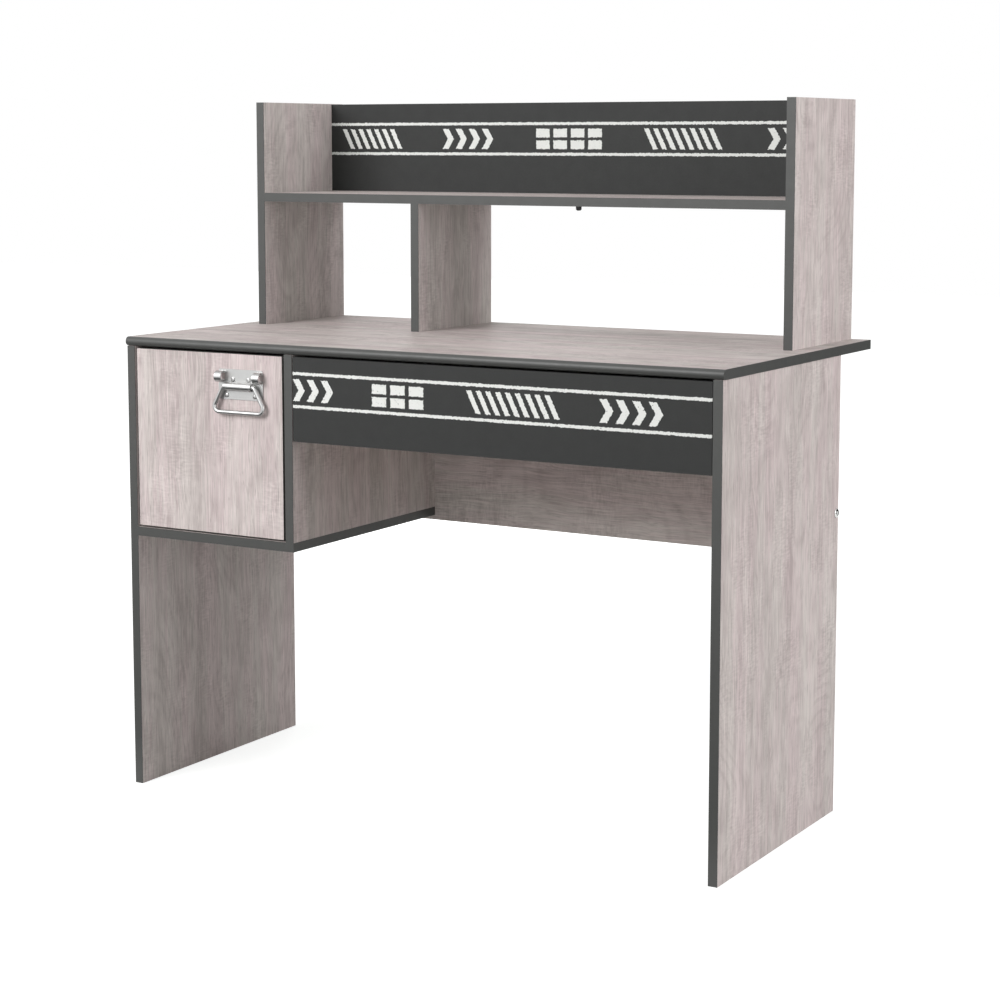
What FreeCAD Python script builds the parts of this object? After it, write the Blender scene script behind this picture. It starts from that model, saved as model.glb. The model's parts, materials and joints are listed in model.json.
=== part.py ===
import FreeCAD, Part
import Sketcher
import math
import os
import re

# Student desk with hutch. Millimetres, floor at Z = 0, front towards -Y.
# The origin is under the middle of the footprint.

DIMENSIONS = [
    # Boards and edgings
    ("desk_width", 1085),
    ("desk_depth", 568),
    ("desk_height", 757),
    ("board_thick", 15),
    ("edge_thick", 1),
    ("handle_reach", 6),
    ("side_overhang", 2),
    ("front_overhang", 2),
    ("leg_depth", 443),
    # Cabinet and modesty panel
    ("cabinet_width", 302.5),
    ("cabinet_height", 302),
    ("modesty_inset", 2),
    ("modesty_height", 325),
    # Hutch
    ("hutch_height", 388),
    ("hutch_inset", 34),
    ("hutch_depth", 244),
    ("hutch_clear", 216),
    ("divider_bay", 304),
    ("divider_setback", 2),
    ("panel_inset", 20),
    ("panel_drop", 1),
    # Door and drawer fronts
    ("front_gap", 3),
    ("door_gap", 4),
    ("drawer_side_gap", 1.5),
    ("front_recess", 1),
    ("drawer_front_tall", 135),
    # Drawer box
    ("box_thick", 12),
    ("box_rear_space", 50),
    ("box_tall", 90),
    ("box_rise", 14),
    ("bottom_thick", 3),
    ("bottom_rise", 10),
    ("box_dowel_low", 31),
    ("box_dowel_high", 70),
    ("groove_deep", 6),
    ("groove_play", 0.2),
    # Runners
    ("runner_space", 12.7),
    ("runner_end", 8),
    ("runner_start", 2),
    ("runner_sheet", 1.2),
    ("channel_reach", 10.8),
    ("channel_tall", 22.7),
    ("rail_start", 3),
    ("rail_under", 9),
    ("roller_radius", 8.5),
    ("roller_wide", 6.6),
    ("roller_end", 12),
    ("front_roller_start", 2.2),
    ("rear_roller_start", 3.5),
    ("front_roller_lift", 1),
    ("roll_play", 0.3),
    ("axle_radius", 2),
    ("axle_head_radius", 3.2),
    ("axle_head_thick", 0.7),
    ("running_play", 0.05),
    ("runner_screw_front", 70),
    ("channel_screw_rear", 52),
    ("rail_screw_rear", 88),
    # Hinges
    ("hinge_edge", 11),
    ("hinge_height", 70),
    ("cup_radius", 17.5),
    ("cup_offset", 10.5),
    ("cup_deep", 12.3),
    ("cup_wall", 0.8),
    ("cup_flange_wide", 18),
    ("cup_flange_tall", 54),
    ("cup_flange_thick", 1.2),
    ("cup_screw_spread", 45),
    ("pin_radius", 1.5),
    ("pin_half", 12.4),
    ("lug_half", 3),
    ("lug_over", 2.5),
    ("knuckle_radius", 2.8),
    ("arm_wide", 12),
    ("arm_thick", 2),
    ("arm_reach", 14),
    ("arm_back", 17),
    ("arm_foot", 55),
    ("lug_play", 1),
    ("plate_thick", 2),
    ("plate_start", 18),
    ("plate_long", 40),
    ("plate_tall", 32),
    ("plate_screw_spread", 22),
    ("foot_screw_end", 8),
    # Catch
    ("catch_wide", 13),
    ("catch_deep", 16),
    ("catch_tall", 44),
    ("catch_gap", 0.4),
    ("strike_thick", 1.2),
    ("strike_wide", 12),
    ("strike_tall", 62),
    ("strike_spread", 53),
    ("strike_edge", 1),
    ("magnet_wide", 7),
    ("magnet_tall", 30),
    ("magnet_deep", 8),
    ("catch_screw_back", 4),
    ("catch_screw_spread", 26),
    # Handle
    ("handle_side", 213.5),
    ("handle_down", 52.4),
    ("handle_wide", 88),
    ("handle_above", 27.3),
    ("handle_below", 21.6),
    ("handle_sheet", 1.5),
    ("handle_corner", 4),
    ("handle_axis", 7.6),
    ("barrel_radius", 6.8),
    ("barrel_long", 54),
    ("ear_radius", 9.2),
    ("ear_wall", 1.6),
    ("ear_long", 13),
    ("ear_axis", 5.8),
    ("ear_up", 15.1),
    ("bail_radius", 3.6),
    ("bail_drop", 42),
    ("bail_half", 48),
    ("bail_top_bend", 5.5),
    ("bail_low_bend", 9),
    ("bail_clear", 0.5),
    # Fasteners
    ("fastener_play", 0.1),
    ("hole_extra", 1),
    ("dowel_radius", 4),
    ("dowel_edge", 20),
    ("dowel_face", 10),
    ("dowel_thin", 8),
    ("dowel_front_inset", 40),
    ("dowel_rear_inset", 60),
    ("dowel_end_inset", 40),
    ("side_dowel_inset", 60),
    ("floor_dowel_left", 80),
    ("floor_dowel_right", 60),
    ("modesty_dowel_left", 150),
    ("modesty_dowel_right", 250),
    ("panel_dowel_inset", 150),
    ("cam_radius", 7.5),
    ("cam_deep", 12.5),
    ("cam_distance", 34),
    ("cam_bolt_radius", 3),
    ("cam_bolt_inside", 4),
    ("cam_front_inset", 80),
    ("cam_rear_inset", 100),
    ("screw_radius", 2.5),
    ("screw_long", 50),
    ("screw_head_radius", 4.75),
    ("screw_head_tall", 3),
    ("hutch_screw_inset", 40),
    ("floor_screw_inset", 60),
    ("bolt_drop", 252),
    ("bolt_radius", 3),
    ("bolt_long", 50),
    ("bolt_head_radius", 7.5),
    ("bolt_head_tall", 3),
    ("bolt_rim_tall", 0.9),
    ("bolt_shoulder_tall", 2.2),
    ("bolt_shoulder_radius", 5.8),
    ("bolt_crown_radius", 3.4),
    ("bolt_socket", 2),
    ("bolt_socket_deep", 2.4),
    ("nut_radius", 5),
    ("nut_long", 13),
    ("nut_distance", 28),
    ("shelf_bolt_side", 16),
    ("shelf_bolt_radius", 3),
    ("shelf_bolt_long", 30),
    ("shelf_head_radius", 5),
    ("shelf_head_tall", 14),
    ("shelf_head_chamfer", 2),
    ("small_head_radius", 3),
    ("small_head_thick", 1),
    ("small_radius", 1.6),
    ("small_long", 9),
    ("rail_screw_long", 8),
    ("handle_screw_head", 4),
    ("handle_screw_dome", 2),
    ("upper_screw_half", 15.5),
    ("upper_screw_up", 11),
    ("lower_screw_half", 28),
    ("lower_screw_down", 15),
]

doc = FreeCAD.newDocument("student_desk")
sizes = doc.addObject("Spreadsheet::Sheet", "Sizes")
for row, (alias, number) in enumerate(DIMENSIONS, start=1):
    sizes.set(f"A{row}", alias)
    sizes.set(f"B{row}", str(number))
    sizes.setAlias(f"B{row}", alias)
doc.recompute()

# Places that several pieces share, as expressions over the sheet
FRONT = "(-desk_depth / 2 + handle_reach)"
REAR = "(desk_depth / 2 + handle_reach)"
LEFT = "(-desk_width / 2)"
RIGHT = "(desk_width / 2)"
UNDER = "(desk_height - board_thick)"
LEG_FRONT = f"({FRONT} + front_overhang)"
LEG_REAR = f"({LEG_FRONT} + leg_depth)"
LEFT_LEG_OUT = f"({LEFT} + side_overhang)"
LEFT_LEG_IN = f"({LEFT_LEG_OUT} + board_thick)"
RIGHT_LEG_OUT = f"({RIGHT} - side_overhang)"
RIGHT_LEG_IN = f"({RIGHT_LEG_OUT} - board_thick)"
BOARD_FRONT = f"({LEG_FRONT} + edge_thick)"
MODESTY_REAR = f"({LEG_REAR} - modesty_inset)"
MODESTY_FRONT = f"({MODESTY_REAR} - board_thick)"
MODESTY_MID = f"({MODESTY_REAR} - board_thick / 2)"
MODESTY_BOTTOM = f"({UNDER} - modesty_height)"
CABINET_IN = f"({LEFT_LEG_IN} + cabinet_width)"
CABINET_OUT = f"({CABINET_IN} + board_thick)"
CABINET_MID = f"({CABINET_IN} + board_thick / 2)"
CABINET_FLOOR = f"({UNDER} - cabinet_height)"
CABINET_UNDER = f"({CABINET_FLOOR} - board_thick)"
HUTCH_FRONT = f"({REAR} - hutch_depth)"
HUTCH_BOARD = f"({HUTCH_FRONT} + edge_thick)"
HUTCH_LEFT_OUT = f"({LEFT} + hutch_inset)"
HUTCH_LEFT_IN = f"({HUTCH_LEFT_OUT} + board_thick)"
HUTCH_RIGHT_OUT = f"({RIGHT} - hutch_inset)"
HUTCH_RIGHT_IN = f"({HUTCH_RIGHT_OUT} - board_thick)"
HUTCH_INNER_REAR = f"({REAR} - divider_setback)"
SHELF_UNDER = "(desk_height + hutch_clear)"
SHELF_TOP = f"({SHELF_UNDER} + board_thick)"
HUTCH_TOP = "(desk_height + hutch_height)"
DIVIDER = f"({HUTCH_LEFT_IN} + divider_bay)"
PANEL_REAR = f"({REAR} - panel_inset)"
PANEL_FRONT = f"({PANEL_REAR} - board_thick)"
PANEL_MID = f"({PANEL_REAR} - board_thick / 2)"
PANEL_TOP = f"({HUTCH_TOP} - panel_drop)"
FACE = f"({LEG_FRONT} + front_recess)"
FACE_REAR = f"({FACE} + board_thick)"
FACE_TOP = f"({UNDER} - front_gap)"
DOOR_LEFT = f"({LEFT_LEG_IN} + door_gap)"
DOOR_RIGHT = f"({CABINET_IN} - door_gap)"
DOOR_BOTTOM = f"({CABINET_FLOOR} + front_gap)"
DRAWER_BOTTOM = f"({FACE_TOP} - drawer_front_tall)"
BOX_LEFT = f"({CABINET_OUT} + runner_space)"
BOX_RIGHT = f"({RIGHT_LEG_IN} - runner_space)"
BOX_BOTTOM = f"({DRAWER_BOTTOM} + box_rise)"
BOX_TOP = f"({BOX_BOTTOM} + box_tall)"
BOX_REAR = f"({MODESTY_FRONT} - box_rear_space)"
INNER_LEFT = f"({BOX_LEFT} + box_thick)"
INNER_RIGHT = f"({BOX_RIGHT} - box_thick)"
GROOVE_LOW = f"({BOX_BOTTOM} + bottom_rise)"
GROOVE_HIGH = f"({GROOVE_LOW} + bottom_thick + groove_play)"
PIN_X = f"({DOOR_LEFT} + hinge_edge)"
PIN_Y = f"({FACE} + board_thick / 2)"
HANDLE_X = f"({DOOR_LEFT} + handle_side)"
HANDLE_Y = f"({FACE} - handle_axis)"
HANDLE_Z = f"({FACE_TOP} - handle_down)"

ALIAS = re.compile(r"\b[a-z]+(?:_[a-z]+)+\b")
TURNS = {
    "+x": FreeCAD.Rotation(FreeCAD.Vector(0, 1, 0), 90),
    "-x": FreeCAD.Rotation(FreeCAD.Vector(0, 1, 0), -90),
    "+y": FreeCAD.Rotation(FreeCAD.Vector(1, 0, 0), -90),
    "-y": FreeCAD.Rotation(FreeCAD.Vector(1, 0, 0), 90),
    "+z": FreeCAD.Rotation(),
    "-z": FreeCAD.Rotation(FreeCAD.Vector(1, 0, 0), 180),
}
NODES = []
BORES = {}


def bound(text):
    """Name the sheet in front of every alias."""
    return ALIAS.sub(lambda found: "Sizes." + found.group(0), text)


def number(text):
    """The present value of an expression, for a sketch's first drawing."""
    return float(sizes.evalExpression(bound(text)))


def node(solid):
    """Mark a finished sub-part for export under its label."""
    NODES.append(solid)
    return solid


def place(solid, corner):
    for axis, text in zip("xyz", corner):
        solid.setExpression(f"Placement.Base.{axis}", bound(text))


def block(name, size, corner):
    solid = doc.addObject("Part::Box", name)
    solid.Label = name
    for side, text in zip(("Length", "Width", "Height"), size):
        solid.setExpression(side, bound(text))
    place(solid, corner)
    return solid


def span(name, low, high):
    """A block between two corners."""
    return block(name, [f"({b}) - ({a})" for a, b in zip(low, high)], low)


def rod(name, radius, length, start, way):
    solid = doc.addObject("Part::Cylinder", name)
    solid.Label = name
    solid.setExpression("Radius", bound(radius))
    solid.setExpression("Height", bound(length))
    solid.Placement = FreeCAD.Placement(FreeCAD.Vector(), TURNS[way])
    place(solid, start)
    return solid


def group(name, solids):
    """Separate like solids under one name."""
    whole = doc.addObject("Part::Compound", name)
    whole.Label = name
    whole.Links = solids
    return whole


def joined(name, solids):
    whole = doc.addObject("Part::MultiFuse", name)
    whole.Label = name
    whole.Shapes = solids
    return whole


def less(name, base, tools):
    whole = doc.addObject("Part::Cut", name)
    whole.Label = name
    whole.Base = base
    whole.Tool = tools[0] if len(tools) == 1 else group(name + "_tools", tools)
    return whole


def back(way):
    return ("-" if way[0] == "+" else "+") + way[1]


def shift(point, way, distance):
    moved = list(point)
    axis = "xyz".index(way[1])
    moved[axis] = f"({point[axis]} {way[0]} ({distance}))"
    return tuple(moved)


def bore(board, radius, depth, start, way):
    """Note a drilled hole that a board gets when it is finished."""
    tools = BORES.setdefault(board, [])
    tools.append(rod(f"{board}_bore_{len(tools) + 1}", radius, depth, start, way))


def finish(name, blank, extra_cuts=()):
    """A board with all the holes noted for it."""
    tools = BORES.get(name, []) + list(extra_cuts)
    return node(less(name, blank, tools))


def origin_plane(body, role):
    return next(item for item in body.Origin.OriginFeatures if item.Role == role)


def new_body(name, corner):
    body = doc.addObject("PartDesign::Body", name)
    body.Label = name
    place(body, corner)
    return body


def new_sketch(body, name, role):
    sketch = body.newObject("Sketcher::SketchObject", name)
    sketch.AttachmentSupport = (origin_plane(body, role), [""])
    sketch.MapMode = "FlatFace"
    return sketch


def hold_point(sketch, geometry, vertex, across, up):
    """Tie a sketch point to the sketch origin with two bound distances."""
    for kind, text in (("DistanceX", across), ("DistanceY", up)):
        index = sketch.addConstraint(Sketcher.Constraint(kind, -1, 1, geometry, vertex, number(text)))
        sketch.setExpression(f"Constraints[{index}]", bound(text))


def hold_across(sketch, geometry, vertex, text):
    index = sketch.addConstraint(Sketcher.Constraint("DistanceX", -1, 1, geometry, vertex, number(text)))
    sketch.setExpression(f"Constraints[{index}]", bound(text))


def hold_radius(sketch, geometry, text):
    index = sketch.addConstraint(Sketcher.Constraint("Radius", geometry, number(text)))
    sketch.setExpression(f"Constraints[{index}]", bound(text))


def polygon(body, name, role, points):
    """A closed outline through bound points."""
    sketch = new_sketch(body, name, role)
    spots = [FreeCAD.Vector(number(across), number(up), 0) for across, up in points]
    for start, end in zip(spots, spots[1:] + spots[:1]):
        sketch.addGeometry(Part.LineSegment(start, end))
    for index in range(len(spots)):
        after = (index + 1) % len(spots)
        sketch.addConstraint(Sketcher.Constraint("Coincident", index, 2, after, 1))
    for index, (across, up) in enumerate(points):
        hold_point(sketch, index, 1, across, up)
    return sketch


def rounded_rectangle(body, name, role, low, high, corner):
    """A closed rectangle with equal round corners."""
    sketch = new_sketch(body, name, role)
    left, bottom = (number(text) for text in low)
    right, top = (number(text) for text in high)
    radius = number(corner)
    centres = ((right - radius, bottom + radius), (right - radius, top - radius),
               (left + radius, top - radius), (left + radius, bottom + radius))
    starts = ((left + radius, bottom), (right, bottom + radius), (right - radius, top), (left, top - radius))
    ends = ((right - radius, bottom), (right, top - radius), (left + radius, top), (left, bottom + radius))
    for index in range(4):
        start = FreeCAD.Vector(*starts[index], 0)
        end = FreeCAD.Vector(*ends[index], 0)
        sketch.addGeometry(Part.LineSegment(start, end))
        circle = Part.Circle(FreeCAD.Vector(*centres[index], 0), FreeCAD.Vector(0, 0, 1), radius)
        turn = math.radians(90 * index - 90)
        sketch.addGeometry(Part.ArcOfCircle(circle, turn, turn + math.radians(90)))
    for index in range(8):
        sketch.addConstraint(Sketcher.Constraint("Tangent", index, 2, (index + 1) % 8, 1))
    rights = (f"{high[0]} - {corner}", f"{low[0]} + {corner}")
    tops = (f"{low[1]} + {corner}", f"{high[1]} - {corner}")
    places = ((rights[0], tops[0]), (rights[0], tops[1]), (rights[1], tops[1]), (rights[1], tops[0]))
    for index, (across, up) in enumerate(places):
        hold_point(sketch, 2 * index + 1, 3, across, up)
        hold_radius(sketch, 2 * index + 1, corner)
    return sketch


def pad(body, name, sketch, length, reverse=False):
    feature = body.newObject("PartDesign::Pad", name)
    feature.Profile = sketch
    feature.setExpression("Length", bound(length))
    feature.Reversed = reverse
    sketch.Visibility = False
    return feature


def dowel(name, edge_board, face_board, point, way, in_edge="dowel_edge", in_face="dowel_face"):
    """A dowel across the joint at a point, going from a board's edge into another board's face."""
    hole = "dowel_radius + fastener_play"
    bore(edge_board, hole, f"{in_edge} + hole_extra", point, back(way))
    bore(face_board, hole, f"{in_face} + hole_extra", point, way)
    return rod(name, "dowel_radius", f"{in_edge} + {in_face}", shift(point, back(way), in_edge), way)


def cam(name, edge_board, face_board, point, way, face_way):
    """A cam disc in a board's face, and the bolt that it draws through the board's edge."""
    centre = shift(point, back(way), "cam_distance")
    surface = shift(centre, face_way, "board_thick / 2")
    hole = "cam_bolt_radius + fastener_play"
    bore(edge_board, hole, "cam_distance", point, back(way))
    bore(edge_board, "cam_radius + fastener_play", "cam_deep + fastener_play", surface, back(face_way))
    bore(face_board, hole, "dowel_face + hole_extra", point, way)
    blank = rod(name + "_blank", "cam_radius", "cam_deep", surface, back(face_way))
    slot = rod(name + "_slot", hole, "cam_radius + hole_extra", centre, way)
    disc = less(name + "_disc", blank, [slot])
    inside = "(cam_distance - cam_radius + cam_bolt_inside)"
    start = shift(point, back(way), inside)
    bolt = rod(name + "_bolt", "cam_bolt_radius", f"{inside} + dowel_face", start, way)
    return disc, bolt


def panel_screw(name, outer_board, inner_board, point, way):
    """A panel screw with its head flush in the outer board."""
    bore(outer_board, "screw_head_radius + fastener_play", "screw_head_tall", point, way)
    bore(outer_board, "screw_radius + fastener_play", "board_thick", point, way)
    inner = shift(point, way, "board_thick")
    bore(inner_board, "screw_radius + fastener_play", "screw_long - board_thick + hole_extra", inner, way)
    head = rod(name + "_head", "screw_head_radius", "screw_head_tall", point, way)
    shank = rod(name + "_shank", "screw_radius", "screw_long", point, way)
    return joined(name, [head, shank])


def small_screw(name, point, way, grip, board, shank="small_radius", length="small_long",
                head="small_head_radius", dome="small_head_thick"):
    """A small screw whose head sits on a fitting of thickness grip, driven along way into a board."""
    seat = shift(point, back(way), dome)
    cap = rod(name + "_head", head, dome, seat, way)
    stem = rod(name + "_stem", shank, f"{dome} + {grip} + {length}", seat, way)
    inner = shift(point, way, grip)
    bore(board, f"{shank} + fastener_play", f"{length} + hole_extra", inner, way)
    return joined(name, [cap, stem])


# Blanks of the boards
worktop_blank = span("worktop_blank",
                     (f"{LEFT} + edge_thick", f"{FRONT} + board_thick / 2", UNDER),
                     (f"{RIGHT} - edge_thick", REAR, "desk_height"))
left_leg_blank = span("left_leg_blank", (LEFT_LEG_OUT, BOARD_FRONT, "0"), (LEFT_LEG_IN, LEG_REAR, UNDER))
right_leg_blank = span("right_leg_blank", (RIGHT_LEG_IN, BOARD_FRONT, "0"), (RIGHT_LEG_OUT, LEG_REAR, UNDER))
modesty_blank = span("modesty_blank", (LEFT_LEG_IN, MODESTY_FRONT, MODESTY_BOTTOM),
                     (RIGHT_LEG_IN, MODESTY_REAR, UNDER))
cabinet_side_blank = span("cabinet_side_blank", (CABINET_IN, BOARD_FRONT, CABINET_FLOOR),
                          (CABINET_OUT, MODESTY_FRONT, UNDER))
cabinet_bottom_blank = span("cabinet_bottom_blank", (LEFT_LEG_IN, BOARD_FRONT, CABINET_UNDER),
                            (f"{CABINET_OUT} - edge_thick", MODESTY_FRONT, CABINET_FLOOR))
hutch_left_blank = span("hutch_left_blank", (HUTCH_LEFT_OUT, HUTCH_BOARD, "desk_height"),
                        (HUTCH_LEFT_IN, REAR, HUTCH_TOP))
hutch_right_blank = span("hutch_right_blank", (HUTCH_RIGHT_IN, HUTCH_BOARD, "desk_height"),
                         (HUTCH_RIGHT_OUT, REAR, HUTCH_TOP))
shelf_blank = span("shelf_blank", (HUTCH_LEFT_IN, HUTCH_BOARD, SHELF_UNDER),
                   (HUTCH_RIGHT_IN, HUTCH_INNER_REAR, SHELF_TOP))
divider_blank = span("divider_blank", (DIVIDER, HUTCH_BOARD, "desk_height"),
                     (f"{DIVIDER} + board_thick", HUTCH_INNER_REAR, SHELF_UNDER))
back_blank = span("back_blank", (HUTCH_LEFT_IN, PANEL_FRONT, SHELF_TOP),
                  (HUTCH_RIGHT_IN, PANEL_REAR, PANEL_TOP))
door_blank = span("door_blank", (DOOR_LEFT, FACE, DOOR_BOTTOM), (DOOR_RIGHT, FACE_REAR, FACE_TOP))
front_blank = span("front_blank", (f"{CABINET_OUT} + drawer_side_gap", FACE, DRAWER_BOTTOM),
                   (f"{RIGHT_LEG_IN} - drawer_side_gap", FACE_REAR, FACE_TOP))
box_left_blank = span("box_left_blank", (BOX_LEFT, FACE_REAR, BOX_BOTTOM),
                      (f"{BOX_LEFT} + box_thick", BOX_REAR, BOX_TOP))
box_right_blank = span("box_right_blank", (f"{BOX_RIGHT} - box_thick", FACE_REAR, BOX_BOTTOM),
                       (BOX_RIGHT, BOX_REAR, BOX_TOP))
box_back_blank = span("box_back_blank",
                      (INNER_LEFT, f"{BOX_REAR} - box_thick", f"{GROOVE_LOW} + bottom_thick"),
                      (INNER_RIGHT, BOX_REAR, BOX_TOP))

# Edgings
nose = new_body("worktop_front_edging", (LEFT, f"{FRONT} + board_thick / 2", UNDER))
nose_sketch = new_sketch(nose, "nose_profile", "YZ_Plane")
nose_radius = number("board_thick / 2")
nose_arc = Part.Arc(FreeCAD.Vector(0, 2 * nose_radius, 0), FreeCAD.Vector(-nose_radius, nose_radius, 0),
                    FreeCAD.Vector(0, 0, 0))
nose_sketch.addGeometry(Part.LineSegment(FreeCAD.Vector(0, 0, 0), FreeCAD.Vector(0, 2 * nose_radius, 0)))
nose_sketch.addGeometry(nose_arc)
nose_sketch.addConstraint(Sketcher.Constraint("Coincident", 0, 1, -1, 1))
nose_sketch.addConstraint(Sketcher.Constraint("Coincident", 1, 1, 0, 2))
nose_sketch.addConstraint(Sketcher.Constraint("Coincident", 1, 2, 0, 1))
hold_point(nose_sketch, 0, 2, "0", "board_thick")
nose_sketch.addConstraint(Sketcher.Constraint("PointOnObject", 1, 3, 0))
pad(nose, "nose_pad", nose_sketch, "desk_width")
node(nose)
side_edging_left = span("worktop_edging_left", (LEFT, f"{FRONT} + board_thick / 2", UNDER),
                        (f"{LEFT} + edge_thick", REAR, "desk_height"))
side_edging_right = span("worktop_edging_right",
                         (f"{RIGHT} - edge_thick", f"{FRONT} + board_thick / 2", UNDER),
                         (RIGHT, REAR, "desk_height"))
node(group("worktop_side_edgings", [side_edging_left, side_edging_right]))
node(span("left_leg_edging", (LEFT_LEG_OUT, LEG_FRONT, "0"), (LEFT_LEG_IN, BOARD_FRONT, UNDER)))
node(span("right_leg_edging", (RIGHT_LEG_IN, LEG_FRONT, "0"), (RIGHT_LEG_OUT, BOARD_FRONT, UNDER)))
node(span("cabinet_side_edging", (CABINET_IN, LEG_FRONT, CABINET_FLOOR), (CABINET_OUT, BOARD_FRONT, UNDER)))
node(span("cabinet_bottom_front_edging", (LEFT_LEG_IN, LEG_FRONT, CABINET_UNDER),
          (CABINET_OUT, BOARD_FRONT, CABINET_FLOOR)))
node(span("cabinet_bottom_side_edging", (f"{CABINET_OUT} - edge_thick", BOARD_FRONT, CABINET_UNDER),
          (CABINET_OUT, MODESTY_FRONT, CABINET_FLOOR)))
node(span("hutch_left_edging", (HUTCH_LEFT_OUT, HUTCH_FRONT, "desk_height"),
          (HUTCH_LEFT_IN, HUTCH_BOARD, HUTCH_TOP)))
node(span("hutch_right_edging", (HUTCH_RIGHT_IN, HUTCH_FRONT, "desk_height"),
          (HUTCH_RIGHT_OUT, HUTCH_BOARD, HUTCH_TOP)))
node(span("hutch_shelf_edging", (HUTCH_LEFT_IN, HUTCH_FRONT, SHELF_UNDER),
          (HUTCH_RIGHT_IN, HUTCH_BOARD, SHELF_TOP)))
node(span("hutch_divider_edging", (DIVIDER, HUTCH_FRONT, "desk_height"),
          (f"{DIVIDER} + board_thick", HUTCH_BOARD, SHELF_UNDER)))

# Dowels of the frame
LEFT_LEG_MID = f"({LEFT_LEG_OUT} + board_thick / 2)"
RIGHT_LEG_MID = f"({RIGHT_LEG_IN} + board_thick / 2)"
DIVIDER_MID = f"({DIVIDER} + board_thick / 2)"
FLOOR_MID = f"({CABINET_FLOOR} - board_thick / 2)"
SHELF_MID = f"({SHELF_UNDER} + board_thick / 2)"
dowels = []
for side, leg_x in (("left_leg", LEFT_LEG_MID), ("right_leg", RIGHT_LEG_MID)):
    for count, leg_y in enumerate((f"{BOARD_FRONT} + dowel_front_inset", f"{LEG_REAR} - dowel_rear_inset")):
        dowels.append(dowel(f"{side}_dowel_{count}", side, "worktop", (leg_x, leg_y, UNDER), "+z"))
for count, side_y in enumerate((f"{BOARD_FRONT} + dowel_front_inset", f"{MODESTY_FRONT} - dowel_rear_inset")):
    dowels.append(dowel(f"cabinet_top_dowel_{count}", "cabinet_side", "worktop",
                        (CABINET_MID, side_y, UNDER), "+z"))
    dowels.append(dowel(f"cabinet_floor_dowel_{count}", "cabinet_bottom", "left_leg",
                        (LEFT_LEG_IN, side_y, FLOOR_MID), "-x"))
for count, floor_x in enumerate((f"{LEFT_LEG_IN} + floor_dowel_left", f"{CABINET_IN} - floor_dowel_right")):
    dowels.append(dowel(f"floor_modesty_dowel_{count}", "cabinet_bottom", "modesty_panel",
                        (floor_x, MODESTY_FRONT, FLOOR_MID), "+y"))
for count, side_z in enumerate((f"{CABINET_FLOOR} + side_dowel_inset", f"{UNDER} - side_dowel_inset")):
    dowels.append(dowel(f"side_modesty_dowel_{count}", "cabinet_side", "modesty_panel",
                        (CABINET_MID, MODESTY_FRONT, side_z), "+y"))
for count, end_z in enumerate((f"{MODESTY_BOTTOM} + dowel_end_inset", f"{UNDER} - dowel_end_inset")):
    dowels.append(dowel(f"modesty_left_dowel_{count}", "modesty_panel", "left_leg",
                        (LEFT_LEG_IN, MODESTY_MID, end_z), "-x"))
    dowels.append(dowel(f"modesty_right_dowel_{count}", "modesty_panel", "right_leg",
                        (RIGHT_LEG_IN, MODESTY_MID, end_z), "+x"))
for count, top_x in enumerate((f"{LEFT_LEG_IN} + modesty_dowel_left",
                               f"{RIGHT_LEG_IN} - modesty_dowel_right")):
    dowels.append(dowel(f"modesty_top_dowel_{count}", "modesty_panel", "worktop",
                        (top_x, MODESTY_MID, UNDER), "+z"))
for count, shelf_y in enumerate((f"{HUTCH_BOARD} + dowel_front_inset",
                                 f"{HUTCH_INNER_REAR} - dowel_rear_inset")):
    dowels.append(dowel(f"shelf_left_dowel_{count}", "hutch_shelf", "hutch_left_side",
                        (HUTCH_LEFT_IN, shelf_y, SHELF_MID), "-x"))
    dowels.append(dowel(f"shelf_right_dowel_{count}", "hutch_shelf", "hutch_right_side",
                        (HUTCH_RIGHT_IN, shelf_y, SHELF_MID), "+x"))
    dowels.append(dowel(f"divider_dowel_{count}", "hutch_divider", "hutch_shelf",
                        (DIVIDER_MID, shelf_y, SHELF_UNDER), "+z"))
for count, panel_z in enumerate((f"{SHELF_TOP} + dowel_end_inset", f"{PANEL_TOP} - dowel_end_inset")):
    dowels.append(dowel(f"back_left_dowel_{count}", "hutch_back_panel", "hutch_left_side",
                        (HUTCH_LEFT_IN, PANEL_MID, panel_z), "-x"))
    dowels.append(dowel(f"back_right_dowel_{count}", "hutch_back_panel", "hutch_right_side",
                        (HUTCH_RIGHT_IN, PANEL_MID, panel_z), "+x"))
for count, back_x in enumerate((f"{HUTCH_LEFT_IN} + panel_dowel_inset",
                                f"{HUTCH_RIGHT_IN} - panel_dowel_inset")):
    dowels.append(dowel(f"back_shelf_dowel_{count}", "hutch_back_panel", "hutch_shelf",
                        (back_x, PANEL_MID, SHELF_TOP), "-z"))
node(group("frame_dowels", dowels))

# Cam locks of the frame
cams = []
for side, leg_x, inward in (("left_leg", LEFT_LEG_MID, "+x"), ("right_leg", RIGHT_LEG_MID, "-x")):
    for count, leg_y in enumerate((f"{BOARD_FRONT} + cam_front_inset", f"{LEG_REAR} - cam_rear_inset")):
        cams.append(cam(f"{side}_cam_{count}", side, "worktop", (leg_x, leg_y, UNDER), "+z", inward))
cams.append(cam("cabinet_top_cam", "cabinet_side", "worktop",
                (CABINET_MID, f"{BOARD_FRONT} + leg_depth / 2", UNDER), "+z", "-x"))
cams.append(cam("cabinet_floor_cam", "cabinet_bottom", "left_leg",
                (LEFT_LEG_IN, f"{BOARD_FRONT} + leg_depth / 2", FLOOR_MID), "-x", "-z"))
cams.append(cam("shelf_left_cam", "hutch_shelf", "hutch_left_side",
                (HUTCH_LEFT_IN, f"{HUTCH_BOARD} + hutch_depth / 2", SHELF_MID), "-x", "-z"))
cams.append(cam("shelf_right_cam", "hutch_shelf", "hutch_right_side",
                (HUTCH_RIGHT_IN, f"{HUTCH_BOARD} + hutch_depth / 2", SHELF_MID), "+x", "-z"))
node(group("cam_discs", [disc for disc, bolt in cams]))
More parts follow.
